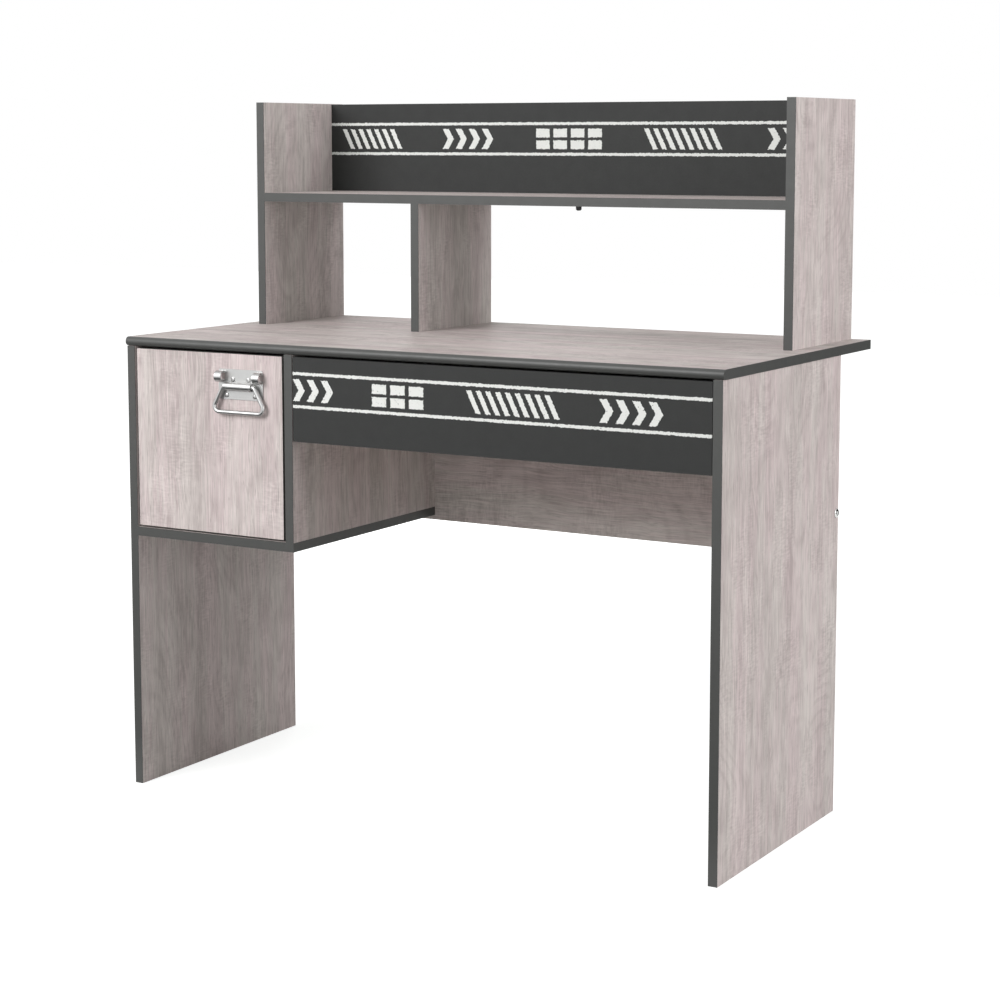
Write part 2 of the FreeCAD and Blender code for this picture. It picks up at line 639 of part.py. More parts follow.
node(group("cam_bolts", [bolt for disc, bolt in cams]))

# Panel screws from below
screws = []
hutch_feet = (("hutch_left_side", f"({HUTCH_LEFT_OUT} + board_thick / 2)"),
              ("hutch_right_side", f"({HUTCH_RIGHT_IN} + board_thick / 2)"),
              ("hutch_divider", DIVIDER_MID))
for board, foot_x in hutch_feet:
    for count, foot_y in enumerate((f"{HUTCH_BOARD} + hutch_screw_inset",
                                    f"{HUTCH_INNER_REAR} - hutch_screw_inset")):
        screws.append(panel_screw(f"{board}_screw_{count}", "worktop", board, (foot_x, foot_y, UNDER), "+z"))
for count, side_y in enumerate((f"{BOARD_FRONT} + floor_screw_inset",
                                f"{MODESTY_FRONT} - floor_screw_inset")):
    screws.append(panel_screw(f"cabinet_screw_{count}", "cabinet_bottom", "cabinet_side",
                              (CABINET_MID, side_y, CABINET_UNDER), "+z"))
node(group("panel_screws", screws))

# Leg bolts with barrel nuts in the modesty panel
leg_bolts = []
barrel_nuts = []
leg_sides = (("left", "left_leg", LEFT_LEG_OUT, "+x"), ("right", "right_leg", RIGHT_LEG_OUT, "-x"))
for side, leg, outer, way in leg_sides:
    seat = (outer, MODESTY_MID, f"({UNDER} - bolt_drop)")
    hole = "bolt_radius + fastener_play"
    bore(leg, hole, "board_thick", seat, way)
    inner = shift(seat, way, "board_thick")
    bore("modesty_panel", hole, "bolt_long - board_thick + hole_extra", inner, way)
    sign = way[0]
    bolt_body = new_body(f"{side}_bolt_turned", seat)
    bolt_outline = polygon(bolt_body, f"{side}_bolt_outline", "XY_Plane", [
        (f"{sign}bolt_long", "0"),
        (f"{sign}bolt_long", "bolt_radius"),
        ("0", "bolt_radius"),
        ("0", "bolt_head_radius"),
        (f"-({sign}bolt_rim_tall)", "bolt_head_radius"),
        (f"-({sign}bolt_shoulder_tall)", "bolt_shoulder_radius"),
        (f"-({sign}bolt_head_tall)", "bolt_crown_radius"),
        (f"-({sign}bolt_head_tall)", "0"),
    ])
    bolt_turn = bolt_body.newObject("PartDesign::Revolution", f"{side}_bolt_turn")
    bolt_turn.Profile = bolt_outline
    bolt_turn.ReferenceAxis = (bolt_outline, ["H_Axis"])
    bolt_turn.Angle = 360
    socket = doc.addObject("Part::Prism", f"{side}_bolt_socket")
    socket.Polygon = 6
    socket.setExpression("Circumradius", bound("bolt_socket"))
    socket.setExpression("Height", bound("bolt_socket_deep + hole_extra"))
    socket.Placement = FreeCAD.Placement(FreeCAD.Vector(), TURNS[way])
    place(socket, shift(seat, back(way), "bolt_head_tall + hole_extra"))
    leg_bolts.append(less(f"{side}_leg_bolt", bolt_body, [socket]))
    nut_seat = shift(shift(inner, way, "nut_distance"), "+y", "board_thick / 2")
    bore("modesty_panel", "nut_radius + fastener_play", "nut_long + fastener_play", nut_seat, "-y")
    nut_blank = rod(f"{side}_nut_blank", "nut_radius", "nut_long", nut_seat, "-y")
    nut_hole = rod(f"{side}_nut_hole", hole, "nut_radius * 4",
                   shift(shift(inner, way, "nut_distance"), back(way), "nut_radius * 2"), way)
    barrel_nuts.append(less(f"{side}_barrel_nut", nut_blank, [nut_hole]))
node(group("leg_bolts", leg_bolts))
node(group("barrel_nuts", barrel_nuts))

# Bolt up through the hutch shelf into the back panel
peg_seat = ("shelf_bolt_side", PANEL_MID, SHELF_UNDER)
bore("hutch_shelf", "shelf_bolt_radius + fastener_play", "board_thick", peg_seat, "+z")
bore("hutch_back_panel", "shelf_bolt_radius + fastener_play", "shelf_bolt_long - board_thick + hole_extra",
     shift(peg_seat, "+z", "board_thick"), "+z")
peg = new_body("shelf_bolt", peg_seat)
peg_outline = polygon(peg, "shelf_bolt_outline", "XZ_Plane", [
    ("0", "shelf_bolt_long"),
    ("shelf_bolt_radius", "shelf_bolt_long"),
    ("shelf_bolt_radius", "0"),
    ("shelf_head_radius", "0"),
    ("shelf_head_radius", "-shelf_head_tall + shelf_head_chamfer"),
    ("shelf_head_radius - shelf_head_chamfer", "-shelf_head_tall"),
    ("0", "-shelf_head_tall"),
])
peg_turn = peg.newObject("PartDesign::Revolution", "shelf_bolt_turn")
peg_turn.Profile = peg_outline
peg_turn.ReferenceAxis = (peg_outline, ["V_Axis"])
peg_turn.Angle = 360
node(peg)

# Concealed hinges of the door
cups = []
pins = []
cup_screws = []
arms = []
plates = []
plate_screws = []
arm_screws = []
hinge_heights = (("lower", f"({DOOR_BOTTOM} + hinge_height)"), ("upper", f"({FACE_TOP} - hinge_height)"))
for level, hinge_z in hinge_heights:
    cup_x = f"({PIN_X} + cup_offset)"
    mouth = (cup_x, FACE_REAR, hinge_z)
    bore("door", "cup_radius + fastener_play", "cup_deep + fastener_play", mouth, "-y")
    shell = rod(f"{level}_cup_shell", "cup_radius", "cup_deep", mouth, "-y")
    flange = block(f"{level}_cup_flange", ("cup_flange_wide", "cup_flange_thick", "cup_flange_tall"),
                   (f"{cup_x} - cup_flange_wide / 2", FACE_REAR, f"{hinge_z} - cup_flange_tall / 2"))
    hollow = rod(f"{level}_cup_hollow", "cup_radius - cup_wall", "cup_deep - cup_wall + cup_flange_thick",
                 shift(mouth, "+y", "cup_flange_thick"), "-y")
    lugs = []
    for end, lug_z in (("low", f"{hinge_z} - cup_radius"), ("high", f"{hinge_z} + arm_wide / 2 + lug_play")):
        lugs.append(block(f"{level}_{end}_lug",
                          ("lug_half * 2", "cup_deep", "cup_radius - arm_wide / 2 - lug_play"),
                          (f"{PIN_X} - lug_half", f"{PIN_Y} + lug_over - cup_deep", lug_z)))
    cavity = less(f"{level}_cup_cavity", hollow, lugs)
    pin_low = (PIN_X, PIN_Y, f"({hinge_z} - pin_half)")
    pin_hole = rod(f"{level}_pin_hole", "pin_radius", "pin_half * 2", pin_low, "+z")
    screw_tools = []
    for sign in "+-":
        spot = (cup_x, f"({FACE_REAR} + cup_flange_thick)", f"({hinge_z} {sign} cup_screw_spread / 2)")
        cup_screws.append(small_screw(f"{level}_cup_screw_{len(cup_screws)}", spot, "-y",
                                      "cup_flange_thick", "door"))
        screw_tools.append(rod(f"{level}_cup_clear_{len(cup_screws)}", "small_radius + fastener_play",
                               "cup_flange_thick * 2", shift(spot, "+y", "cup_flange_thick / 2"), "-y"))
    cup_body = joined(f"{level}_cup_body", [shell, flange])
    cups.append(less(f"{level}_cup", cup_body, [cavity, pin_hole] + screw_tools))
    pins.append(rod(f"{level}_pin", "pin_radius", "pin_half * 2", pin_low, "+z"))
    arm_low = f"({hinge_z} - arm_wide / 2)"
    arm_high = f"({hinge_z} + arm_wide / 2)"
    plate_face = f"({LEFT_LEG_IN} + plate_thick)"
    knuckle = rod(f"{level}_knuckle", "knuckle_radius", "arm_wide", (PIN_X, PIN_Y, arm_low), "+z")
    reach = span(f"{level}_arm_reach", (PIN_X, f"{PIN_Y} - arm_thick / 2", arm_low),
                 (f"{PIN_X} + arm_reach", f"{PIN_Y} + arm_thick / 2", arm_high))
    neck = span(f"{level}_arm_neck",
                (f"{PIN_X} + arm_reach - arm_thick", f"{PIN_Y} - arm_thick / 2", arm_low),
                (f"{PIN_X} + arm_reach", f"{PIN_Y} + arm_back", arm_high))
    cross = span(f"{level}_arm_cross", (plate_face, f"{PIN_Y} + arm_back - arm_thick", arm_low),
                 (f"{PIN_X} + arm_reach", f"{PIN_Y} + arm_back", arm_high))
    foot = span(f"{level}_arm_foot", (plate_face, f"{PIN_Y} + arm_back - arm_thick", arm_low),
                (f"{plate_face} + arm_thick", f"{PIN_Y} + arm_foot", arm_high))
    arm_bore = rod(f"{level}_arm_bore", "pin_radius + running_play", "arm_wide",
                   (PIN_X, PIN_Y, arm_low), "+z")
    foot_spot = (f"({plate_face} + arm_thick)", f"({PIN_Y} + arm_foot - foot_screw_end)", hinge_z)
    foot_clear = rod(f"{level}_foot_clear", "small_radius + fastener_play", "arm_thick * 2",
                     shift(foot_spot, "+x", "arm_thick / 2"), "-x")
    arms.append(less(f"{level}_arm", joined(f"{level}_arm_body", [knuckle, reach, neck, cross, foot]),
                     [arm_bore, foot_clear]))
    arm_screws.append(small_screw(f"{level}_arm_screw", foot_spot, "-x",
                                  "arm_thick + plate_thick", "left_leg"))
    plate_blank = block(f"{level}_plate_blank", ("plate_thick", "plate_long", "plate_tall"),
                        (LEFT_LEG_IN, f"{PIN_Y} + plate_start", f"{hinge_z} - plate_tall / 2"))
    plate_tools = [rod(f"{level}_plate_clear", "small_radius + fastener_play", "plate_thick * 2",
                       shift((plate_face, foot_spot[1], hinge_z), "+x", "plate_thick / 2"), "-x")]
    for sign in "+-":
        spot = (plate_face, f"({PIN_Y} + plate_start + plate_long / 2)",
                f"({hinge_z} {sign} plate_screw_spread / 2)")
        plate_screws.append(small_screw(f"{level}_plate_screw_{len(plate_screws)}", spot, "-x",
                                        "plate_thick", "left_leg"))
        plate_tools.append(rod(f"{level}_plate_clear_{len(plate_screws)}", "small_radius + fastener_play",
                               "plate_thick * 2", shift(spot, "+x", "plate_thick / 2"), "-x"))
    plates.append(less(f"{level}_plate", plate_blank, plate_tools))
node(group("hinge_cups", cups))
node(group("hinge_pins", pins))
node(group("hinge_cup_screws", cup_screws))
node(group("hinge_arms", arms))
node(group("hinge_plates", plates))
node(group("hinge_plate_screws", plate_screws))
node(group("hinge_arm_screws", arm_screws))

# Magnetic catch on the cabinet side, strike plate on the door
CATCH_Z = f"(({DOOR_BOTTOM} + {FACE_TOP}) / 2)"
CATCH_Y = f"({FACE_REAR} + strike_thick + catch_gap)"
CATCH_X = f"({CABINET_IN} - catch_wide / 2)"
case_blank = block("catch_case_blank", ("catch_wide", "catch_deep", "catch_tall"),
                   (f"{CABINET_IN} - catch_wide", CATCH_Y, f"{CATCH_Z} - catch_tall / 2"))
magnet_low = (f"{CATCH_X} - magnet_wide / 2", CATCH_Y, f"{CATCH_Z} - magnet_tall / 2")
case_pocket = block("catch_pocket", ("magnet_wide", "magnet_deep", "magnet_tall"), magnet_low)
catch_screws = []
case_tools = [case_pocket]
for sign in "+-":
    spot = (f"({CABINET_IN} - catch_wide)", f"({CATCH_Y} + catch_deep - catch_screw_back)",
            f"({CATCH_Z} {sign} catch_screw_spread / 2)")
    catch_screws.append(small_screw(f"catch_screw_{len(catch_screws)}", spot, "+x",
                                    "catch_wide", "cabinet_side"))
    case_tools.append(rod(f"catch_clear_{len(catch_screws)}", "small_radius + fastener_play",
                          "catch_wide * 2", shift(spot, "-x", "catch_wide / 2"), "+x"))
node(less("catch_case", case_blank, case_tools))
node(block("catch_magnet", ("magnet_wide", "magnet_deep", "magnet_tall"), magnet_low))
node(group("catch_screws", catch_screws))
STRIKE_X = f"({DOOR_RIGHT} - strike_edge - strike_wide / 2)"
strike_blank = block("strike_blank", ("strike_wide", "strike_thick", "strike_tall"),
                     (f"{STRIKE_X} - strike_wide / 2", FACE_REAR, f"{CATCH_Z} - strike_tall / 2"))
strike_screws = []
strike_tools = []
for sign in "+-":
    spot = (STRIKE_X, f"({FACE_REAR} + strike_thick)", f"({CATCH_Z} {sign} strike_spread / 2)")
    strike_screws.append(small_screw(f"strike_screw_{len(strike_screws)}", spot, "-y",
                                     "strike_thick", "door"))
    strike_tools.append(rod(f"strike_clear_{len(strike_screws)}", "small_radius + fastener_play",
                            "strike_thick * 2", shift(spot, "+y", "strike_thick / 2"), "-y"))
node(less("catch_strike", strike_blank, strike_tools))
node(group("strike_screws", strike_screws))

# Handle plate with its barrel and ears
handle_body = new_body("handle_sheet_body", (HANDLE_X, FACE, HANDLE_Z))
handle_sketch = rounded_rectangle(handle_body, "handle_outline", "XZ_Plane",
                                  ("-handle_wide / 2", "-handle_below"), ("handle_wide / 2", "handle_above"),
                                  "handle_corner")
pad(handle_body, "handle_pad", handle_sketch, "handle_sheet")
barrel = rod("handle_barrel", "barrel_radius", "barrel_long",
             (f"{HANDLE_X} - barrel_long / 2", HANDLE_Y, HANDLE_Z), "+x")
handle_tools = [rod("handle_barrel_bore", "bail_radius + running_play", "barrel_long",
                    (f"{HANDLE_X} - barrel_long / 2", HANDLE_Y, HANDLE_Z), "+x")]
ears = []
ear_sides = (("left", f"{HANDLE_X} - handle_wide / 2"), ("right", f"{HANDLE_X} + handle_wide / 2 - ear_long"))
for side, ear_x in ear_sides:
    ear_start = (ear_x, f"{FACE} - ear_axis", f"{HANDLE_Z} + ear_up")
    ears.append(rod(f"{side}_ear", "ear_radius", "ear_long", ear_start, "+x"))
    handle_tools.append(rod(f"{side}_ear_hollow", "ear_radius - ear_wall", "ear_long", ear_start, "+x"))
handle_tools.append(span("handle_rear_trim",
                         (f"{HANDLE_X} - handle_wide / 2", FACE, f"{HANDLE_Z} + ear_up - ear_radius"),
                         (f"{HANDLE_X} + handle_wide / 2", f"{FACE} + ear_radius",
                          f"{HANDLE_Z} + ear_up + ear_radius")))
handle_screws = []
handle_spots = (("upper_screw_half", "+ upper_screw_up"), ("lower_screw_half", "- lower_screw_down"))
for half, rise in handle_spots:
    for sign in "+-":
        spot = (f"({HANDLE_X} {sign} {half})", f"({FACE} - handle_sheet)", f"({HANDLE_Z} {rise})")
        handle_screws.append(small_screw(f"handle_screw_{len(handle_screws)}", spot, "+y",
                                         "handle_sheet", "door",
                                         head="handle_screw_head", dome="handle_screw_dome"))
        handle_tools.append(rod(f"handle_clear_{len(handle_screws)}", "small_radius + fastener_play",
                                "handle_sheet * 2", shift(spot, "-y", "handle_sheet / 2"), "+y"))
node(less("handle_plate", joined("handle_plate_body", [handle_body, barrel] + ears), handle_tools))
node(group("handle_screws", handle_screws))

# Wire bail: half of its loop swept along a path, then mirrored
bail = new_body("handle_bail", (HANDLE_X, HANDLE_Y, HANDLE_Z))
top_end = number("barrel_long / 2 + bail_clear")
top_bend = number("bail_top_bend")
low_bend = number("bail_low_bend")
drop = number("bail_drop")
low_x = number("bail_half") - low_bend
top_centre = FreeCAD.Vector(top_end, -top_bend, 0)
low_centre = FreeCAD.Vector(low_x, low_bend - drop, 0)
apart = low_centre - top_centre
lean = (top_bend - low_bend) / apart.Length
unit = FreeCAD.Vector(apart).normalize()
outward = unit * lean + FreeCAD.Vector(-unit.y, unit.x, 0) * (1 - lean * lean) ** 0.5
top_touch = top_centre + outward * top_bend
low_touch = low_centre + outward * low_bend
path = new_sketch(bail, "bail_path", "XZ_Plane")
path.addGeometry(Part.LineSegment(FreeCAD.Vector(0, 0, 0), FreeCAD.Vector(top_end, 0, 0)))
middle = (outward + FreeCAD.Vector(0, 1, 0)).normalize()
path.addGeometry(Part.Arc(FreeCAD.Vector(top_end, 0, 0), top_centre + middle * top_bend, top_touch))
path.addGeometry(Part.LineSegment(top_touch, low_touch))
middle = (outward + FreeCAD.Vector(0, -1, 0)).normalize()
path.addGeometry(Part.Arc(low_touch, low_centre + middle * low_bend, FreeCAD.Vector(low_x, -drop, 0)))
path.addGeometry(Part.LineSegment(FreeCAD.Vector(low_x, -drop, 0), FreeCAD.Vector(0, -drop, 0)))
path.addConstraint(Sketcher.Constraint("Coincident", 0, 1, -1, 1))
path.addConstraint(Sketcher.Constraint("Horizontal", 0))
path.addConstraint(Sketcher.Constraint("Horizontal", 4))
path.addConstraint(Sketcher.Constraint("Tangent", 0, 2, 1, 2))
path.addConstraint(Sketcher.Constraint("Tangent", 1, 1, 2, 1))
path.addConstraint(Sketcher.Constraint("Tangent", 2, 2, 3, 2))
path.addConstraint(Sketcher.Constraint("Tangent", 3, 1, 4, 1))
hold_radius(path, 1, "bail_top_bend")
hold_radius(path, 3, "bail_low_bend")
hold_point(path, 4, 2, "0", "-bail_drop")
hold_across(path, 1, 3, "barrel_long / 2 + bail_clear")
hold_across(path, 3, 3, "bail_half - bail_low_bend")
wire = new_sketch(bail, "bail_wire", "YZ_Plane")
wire.addGeometry(Part.Circle(FreeCAD.Vector(0, 0, 0), FreeCAD.Vector(0, 0, 1), number("bail_radius")))
wire.addConstraint(Sketcher.Constraint("Coincident", 0, 3, -1, 1))
hold_radius(wire, 0, "bail_radius")
doc.recompute()
sweep = bail.newObject("PartDesign::AdditivePipe", "bail_sweep")
sweep.Profile = wire
sweep.Spine = (path, [f"Edge{index}" for index in range(1, 6)])
doc.recompute()
whole_bail = bail.newObject("PartDesign::Mirrored", "bail_mirrored")
whole_bail.Originals = [sweep]
whole_bail.MirrorPlane = (origin_plane(bail, "YZ_Plane"), [""])
bail.Tip = whole_bail
node(bail)

# Drawer box: grooves for the bottom, dowels at the four corners
left_groove = span("box_left_groove", (f"{INNER_LEFT} - groove_deep", FACE_REAR, GROOVE_LOW),
                   (INNER_LEFT, BOX_REAR, GROOVE_HIGH))
right_groove = span("box_right_groove", (INNER_RIGHT, FACE_REAR, GROOVE_LOW),
                    (f"{INNER_RIGHT} + groove_deep", BOX_REAR, GROOVE_HIGH))
front_groove = span("box_front_groove",
                    (f"{INNER_LEFT} - groove_deep", f"{FACE_REAR} - groove_deep", GROOVE_LOW),
                    (f"{INNER_RIGHT} + groove_deep", FACE_REAR, GROOVE_HIGH))
node(span("drawer_bottom",
          (f"{INNER_LEFT} - groove_deep + groove_play",
           f"{FACE_REAR} - groove_deep + groove_play", GROOVE_LOW),
          (f"{INNER_RIGHT} + groove_deep - groove_play", BOX_REAR, f"{GROOVE_LOW} + bottom_thick")))
drawer_dowels = []
box_sides = (("drawer_left_side", f"({BOX_LEFT} + box_thick / 2)", INNER_LEFT, "-x"),
             ("drawer_right_side", f"({BOX_RIGHT} - box_thick / 2)", INNER_RIGHT, "+x"))
for board, middle_x, inner_x, way in box_sides:
    for count, rise in enumerate(("box_dowel_low", "box_dowel_high")):
        level = f"({BOX_BOTTOM} + {rise})"
        drawer_dowels.append(dowel(f"{board}_front_dowel_{count}", board, "drawer_front",
                                   (middle_x, FACE_REAR, level), "-y"))
        corner = (inner_x, f"({BOX_REAR} - box_thick / 2)", level)
        drawer_dowels.append(dowel(f"{board}_back_dowel_{count}", "drawer_back", board, corner, way,
                                   in_face="dowel_thin"))
node(group("drawer_dowels", drawer_dowels))

# Runners: a fixed channel with a front roller, a moving rail with a rear roller
RUNNER_FRONT = f"({FACE_REAR} + runner_start)"
RUNNER_LENGTH = f"({BOX_REAR} - runner_end - {RUNNER_FRONT})"
CHANNEL_LOW = f"({BOX_BOTTOM} - runner_sheet)"
REAR_ROLLER_Z = f"({BOX_BOTTOM} + roll_play + roller_radius)"
FRONT_ROLLER_Z = f"({BOX_BOTTOM} + front_roller_lift + roller_radius)"
FRONT_ROLLER_Y = f"({RUNNER_FRONT} + roller_end)"
REAR_ROLLER_Y = f"({BOX_REAR} - runner_end - roller_end)"
RAIL_LOW = "(runner_sheet + front_roller_lift + roller_radius * 2 + roll_play)"
channel_screws = []
rail_screws = []
front_rollers = []
rear_rollers = []
runner_sides = (("left", CABINET_OUT, "+x", "cabinet_side", "drawer_left_side"),
                ("right", RIGHT_LEG_IN, "-x", "right_leg", "drawer_right_side"))
for side, wall, way, panel, box_side in runner_sides:
    sign = way[0]
    channel_body = new_body(f"{side}_channel_body", (wall, RUNNER_FRONT, CHANNEL_LOW))
    channel_sketch = polygon(channel_body, f"{side}_channel_profile", "XZ_Plane", [
        ("0", "0"),
        (f"{sign}channel_reach", "0"),
        (f"{sign}channel_reach", "runner_sheet"),
        (f"{sign}runner_sheet", "runner_sheet"),
        (f"{sign}runner_sheet", "channel_tall - runner_sheet"),
        (f"{sign}channel_reach", "channel_tall - runner_sheet"),
        (f"{sign}channel_reach", "channel_tall"),
        ("0", "channel_tall"),
    ])
    pad(channel_body, f"{side}_channel_pad", channel_sketch, RUNNER_LENGTH, reverse=True)
    web = (wall, FRONT_ROLLER_Y, FRONT_ROLLER_Z)
    axle_long = "front_roller_start + roller_wide + roll_play + axle_head_thick"
    axle = rod(f"{side}_front_axle", "axle_radius", axle_long, web, way)
    axle_head = rod(f"{side}_front_axle_head", "axle_head_radius", "axle_head_thick",
                    shift(web, way, "front_roller_start + roller_wide + roll_play"), way)
    channel_tools = []
    for along in ("runner_screw_front", f"{RUNNER_LENGTH} - channel_screw_rear"):
        middle = (wall, f"({RUNNER_FRONT} + {along})", f"({CHANNEL_LOW} + channel_tall / 2)")
        spot = shift(middle, way, "runner_sheet")
        channel_screws.append(small_screw(f"channel_screw_{len(channel_screws)}", spot, back(way),
                                          "runner_sheet", panel))
        channel_tools.append(rod(f"channel_clear_{len(channel_screws)}", "small_radius + fastener_play",
                                 "runner_sheet * 2", shift(spot, way, "runner_sheet / 2"), back(way)))
    node(less(f"{side}_runner_channel", joined(f"{side}_channel_riveted", [channel_body, axle, axle_head]),
              channel_tools))
    rail_body = new_body(f"{side}_rail_body", (wall, RUNNER_FRONT, CHANNEL_LOW))
    web_near = f"{sign}(runner_space - runner_sheet)"
    web_far = f"{sign}runner_space"
    rail_sketch = polygon(rail_body, f"{side}_rail_profile", "XZ_Plane", [
        (web_near, "0"),
        (f"{sign}(runner_space + rail_under)", "0"),
        (f"{sign}(runner_space + rail_under)", "runner_sheet"),
        (web_far, "runner_sheet"),
        (web_far, f"{RAIL_LOW} + runner_sheet"),
        (f"{sign}rail_start", f"{RAIL_LOW} + runner_sheet"),
        (f"{sign}rail_start", RAIL_LOW),
        (web_near, RAIL_LOW),
    ])
    pad(rail_body, f"{side}_rail_pad", rail_sketch, RUNNER_LENGTH, reverse=True)
    tip = shift((wall, REAR_ROLLER_Y, REAR_ROLLER_Z), way, "rear_roller_start - roll_play - axle_head_thick")
    rear_long = "runner_space - rear_roller_start + roll_play + axle_head_thick - runner_sheet / 2"
    rear_axle = rod(f"{side}_rear_axle", "axle_radius", rear_long, tip, way)
    rear_head = rod(f"{side}_rear_axle_head", "axle_head_radius", "axle_head_thick", tip, way)
    rail_tools = []
    for along in ("runner_screw_front", f"{RUNNER_LENGTH} - rail_screw_rear"):
        spot = shift((wall, f"({RUNNER_FRONT} + {along})", CHANNEL_LOW), way, "runner_space + box_thick / 2")
        rail_screws.append(small_screw(f"rail_screw_{len(rail_screws)}", spot, "+z", "runner_sheet", box_side,
                                       length="rail_screw_long"))
        rail_tools.append(rod(f"rail_clear_{len(rail_screws)}", "small_radius + fastener_play",
                              "runner_sheet * 2", shift(spot, "-z", "runner_sheet / 2"), "+z"))
    riveted = joined(f"{side}_rail_riveted", [rail_body, rear_axle, rear_head])
    node(less(f"{side}_runner_rail", riveted, rail_tools))
    for place_name, start, roller_y, roller_z, kept in (
            ("front", "front_roller_start", FRONT_ROLLER_Y, FRONT_ROLLER_Z, front_rollers),
            ("rear", "rear_roller_start", REAR_ROLLER_Y, REAR_ROLLER_Z, rear_rollers)):
        roller_seat = shift((wall, roller_y, roller_z), way, start)
        tyre = rod(f"{side}_{place_name}_tyre", "roller_radius", "roller_wide", roller_seat, way)
        eye = rod(f"{side}_{place_name}_eye", "axle_radius + running_play", "roller_wide", roller_seat, way)
        kept.append(less(f"{side}_{place_name}_roller", tyre, [eye]))
node(group("front_rollers", front_rollers))
node(group("rear_rollers", rear_rollers))
node(group("channel_screws", channel_screws))
node(group("rail_screws", rail_screws))

# Boards with their holes
finish("worktop", worktop_blank)
finish("left_leg", left_leg_blank)
finish("right_leg", right_leg_blank)
finish("modesty_panel", modesty_blank)
finish("cabinet_side", cabinet_side_blank)
finish("cabinet_bottom", cabinet_bottom_blank)
finish("hutch_left_side", hutch_left_blank)
finish("hutch_right_side", hutch_right_blank)
finish("hutch_shelf", shelf_blank)
finish("hutch_divider", divider_blank)
finish("hutch_back_panel", back_blank)
finish("door", door_blank)
finish("drawer_front", front_blank, [front_groove])
finish("drawer_left_side", box_left_blank, [left_groove])
finish("drawer_right_side", box_right_blank, [right_groove])
finish("drawer_back", box_back_blank)

doc.recompute()
for item in doc.Objects:
    if "Invalid" in item.State or "Error" in item.State:
        raise RuntimeError(f"{item.Label} did not compute: {item.State}")
os.makedirs("parts", exist_ok=True)
for solid in NODES:
    if solid.Shape.isNull() or not solid.Shape.isValid():
        raise RuntimeError(f"{solid.Label} has no valid shape")
    solid.Shape.exportStep(f"parts/{solid.Label}.step")
    box = solid.Shape.BoundBox
    print(f"{solid.Label}: {len(solid.Shape.Solids)} solids, {solid.Shape.Volume:.0f} mm3, "
          f"x {box.XMin:.1f} {box.XMax:.1f}, y {box.YMin:.1f} {box.YMax:.1f}, "
          f"z {box.ZMin:.1f} {box.ZMax:.1f}")
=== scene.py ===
import json
import math
from typing import NamedTuple

import bmesh
import bpy
from mathutils import Matrix, Vector

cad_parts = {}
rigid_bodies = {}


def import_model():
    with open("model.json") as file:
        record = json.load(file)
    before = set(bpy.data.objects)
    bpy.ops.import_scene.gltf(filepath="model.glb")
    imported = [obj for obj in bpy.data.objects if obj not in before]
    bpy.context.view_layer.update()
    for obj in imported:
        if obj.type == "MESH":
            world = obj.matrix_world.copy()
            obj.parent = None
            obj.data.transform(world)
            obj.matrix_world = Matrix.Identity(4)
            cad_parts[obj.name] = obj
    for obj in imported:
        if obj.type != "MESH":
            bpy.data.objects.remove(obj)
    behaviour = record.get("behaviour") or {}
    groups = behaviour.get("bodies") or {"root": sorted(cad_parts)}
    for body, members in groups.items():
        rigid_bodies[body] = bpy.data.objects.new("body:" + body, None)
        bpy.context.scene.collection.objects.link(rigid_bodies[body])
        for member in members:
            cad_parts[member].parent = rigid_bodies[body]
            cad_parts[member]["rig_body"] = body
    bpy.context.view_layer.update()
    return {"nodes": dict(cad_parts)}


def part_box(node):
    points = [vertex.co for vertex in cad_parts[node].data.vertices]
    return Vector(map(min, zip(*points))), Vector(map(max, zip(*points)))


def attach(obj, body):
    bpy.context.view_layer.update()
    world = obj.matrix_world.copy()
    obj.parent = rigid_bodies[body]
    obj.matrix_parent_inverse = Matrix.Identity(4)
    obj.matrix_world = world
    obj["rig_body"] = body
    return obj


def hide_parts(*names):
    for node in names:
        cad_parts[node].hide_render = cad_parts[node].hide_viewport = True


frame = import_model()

bl_info = {
    "name": "Student desk looks",
    "version": (1, 0, 0),
    "blender": (4, 5, 0),
    "location": "3D View > Sidebar > Desk",
    "description": "Dresses the packed student desk and sets it on a studio floor",
    "category": "3D View",
}

UPRIGHT_BOARDS = (
    "left_leg",
    "right_leg",
    "cabinet_side",
    "hutch_left_side",
    "hutch_right_side",
    "hutch_divider",
    "door",
)
FLAT_BOARDS = ("worktop", "modesty_panel", "cabinet_bottom", "hutch_shelf")
EDGINGS = (
    "worktop_front_edging",
    "worktop_side_edgings",
    "left_leg_edging",
    "right_leg_edging",
    "cabinet_side_edging",
    "cabinet_bottom_front_edging",
    "cabinet_bottom_side_edging",
    "hutch_left_edging",
    "hutch_right_edging",
    "hutch_shelf_edging",
    "hutch_divider_edging",
)
BANDED_BOARDS = ("door",)
BOX_BOARDS = ("drawer_left_side", "drawer_right_side", "drawer_back")
DOWELS = ("frame_dowels", "drawer_dowels")
ZINC_PARTS = (
    "cam_discs",
    "cam_bolts",
    "panel_screws",
    "barrel_nuts",
    "hinge_cups",
    "hinge_pins",
    "hinge_cup_screws",
    "hinge_arms",
    "hinge_plates",
    "hinge_plate_screws",
    "hinge_arm_screws",
    "catch_screws",
    "catch_strike",
    "strike_screws",
    "channel_screws",
    "rail_screws",
)
NICKEL_PARTS = ("handle_plate", "handle_screws", "handle_bail")
RUNNER_PARTS = (
    "left_runner_channel",
    "right_runner_channel",
    "left_runner_rail",
    "right_runner_rail",
)
ROLLERS = ("front_rollers", "rear_rollers")
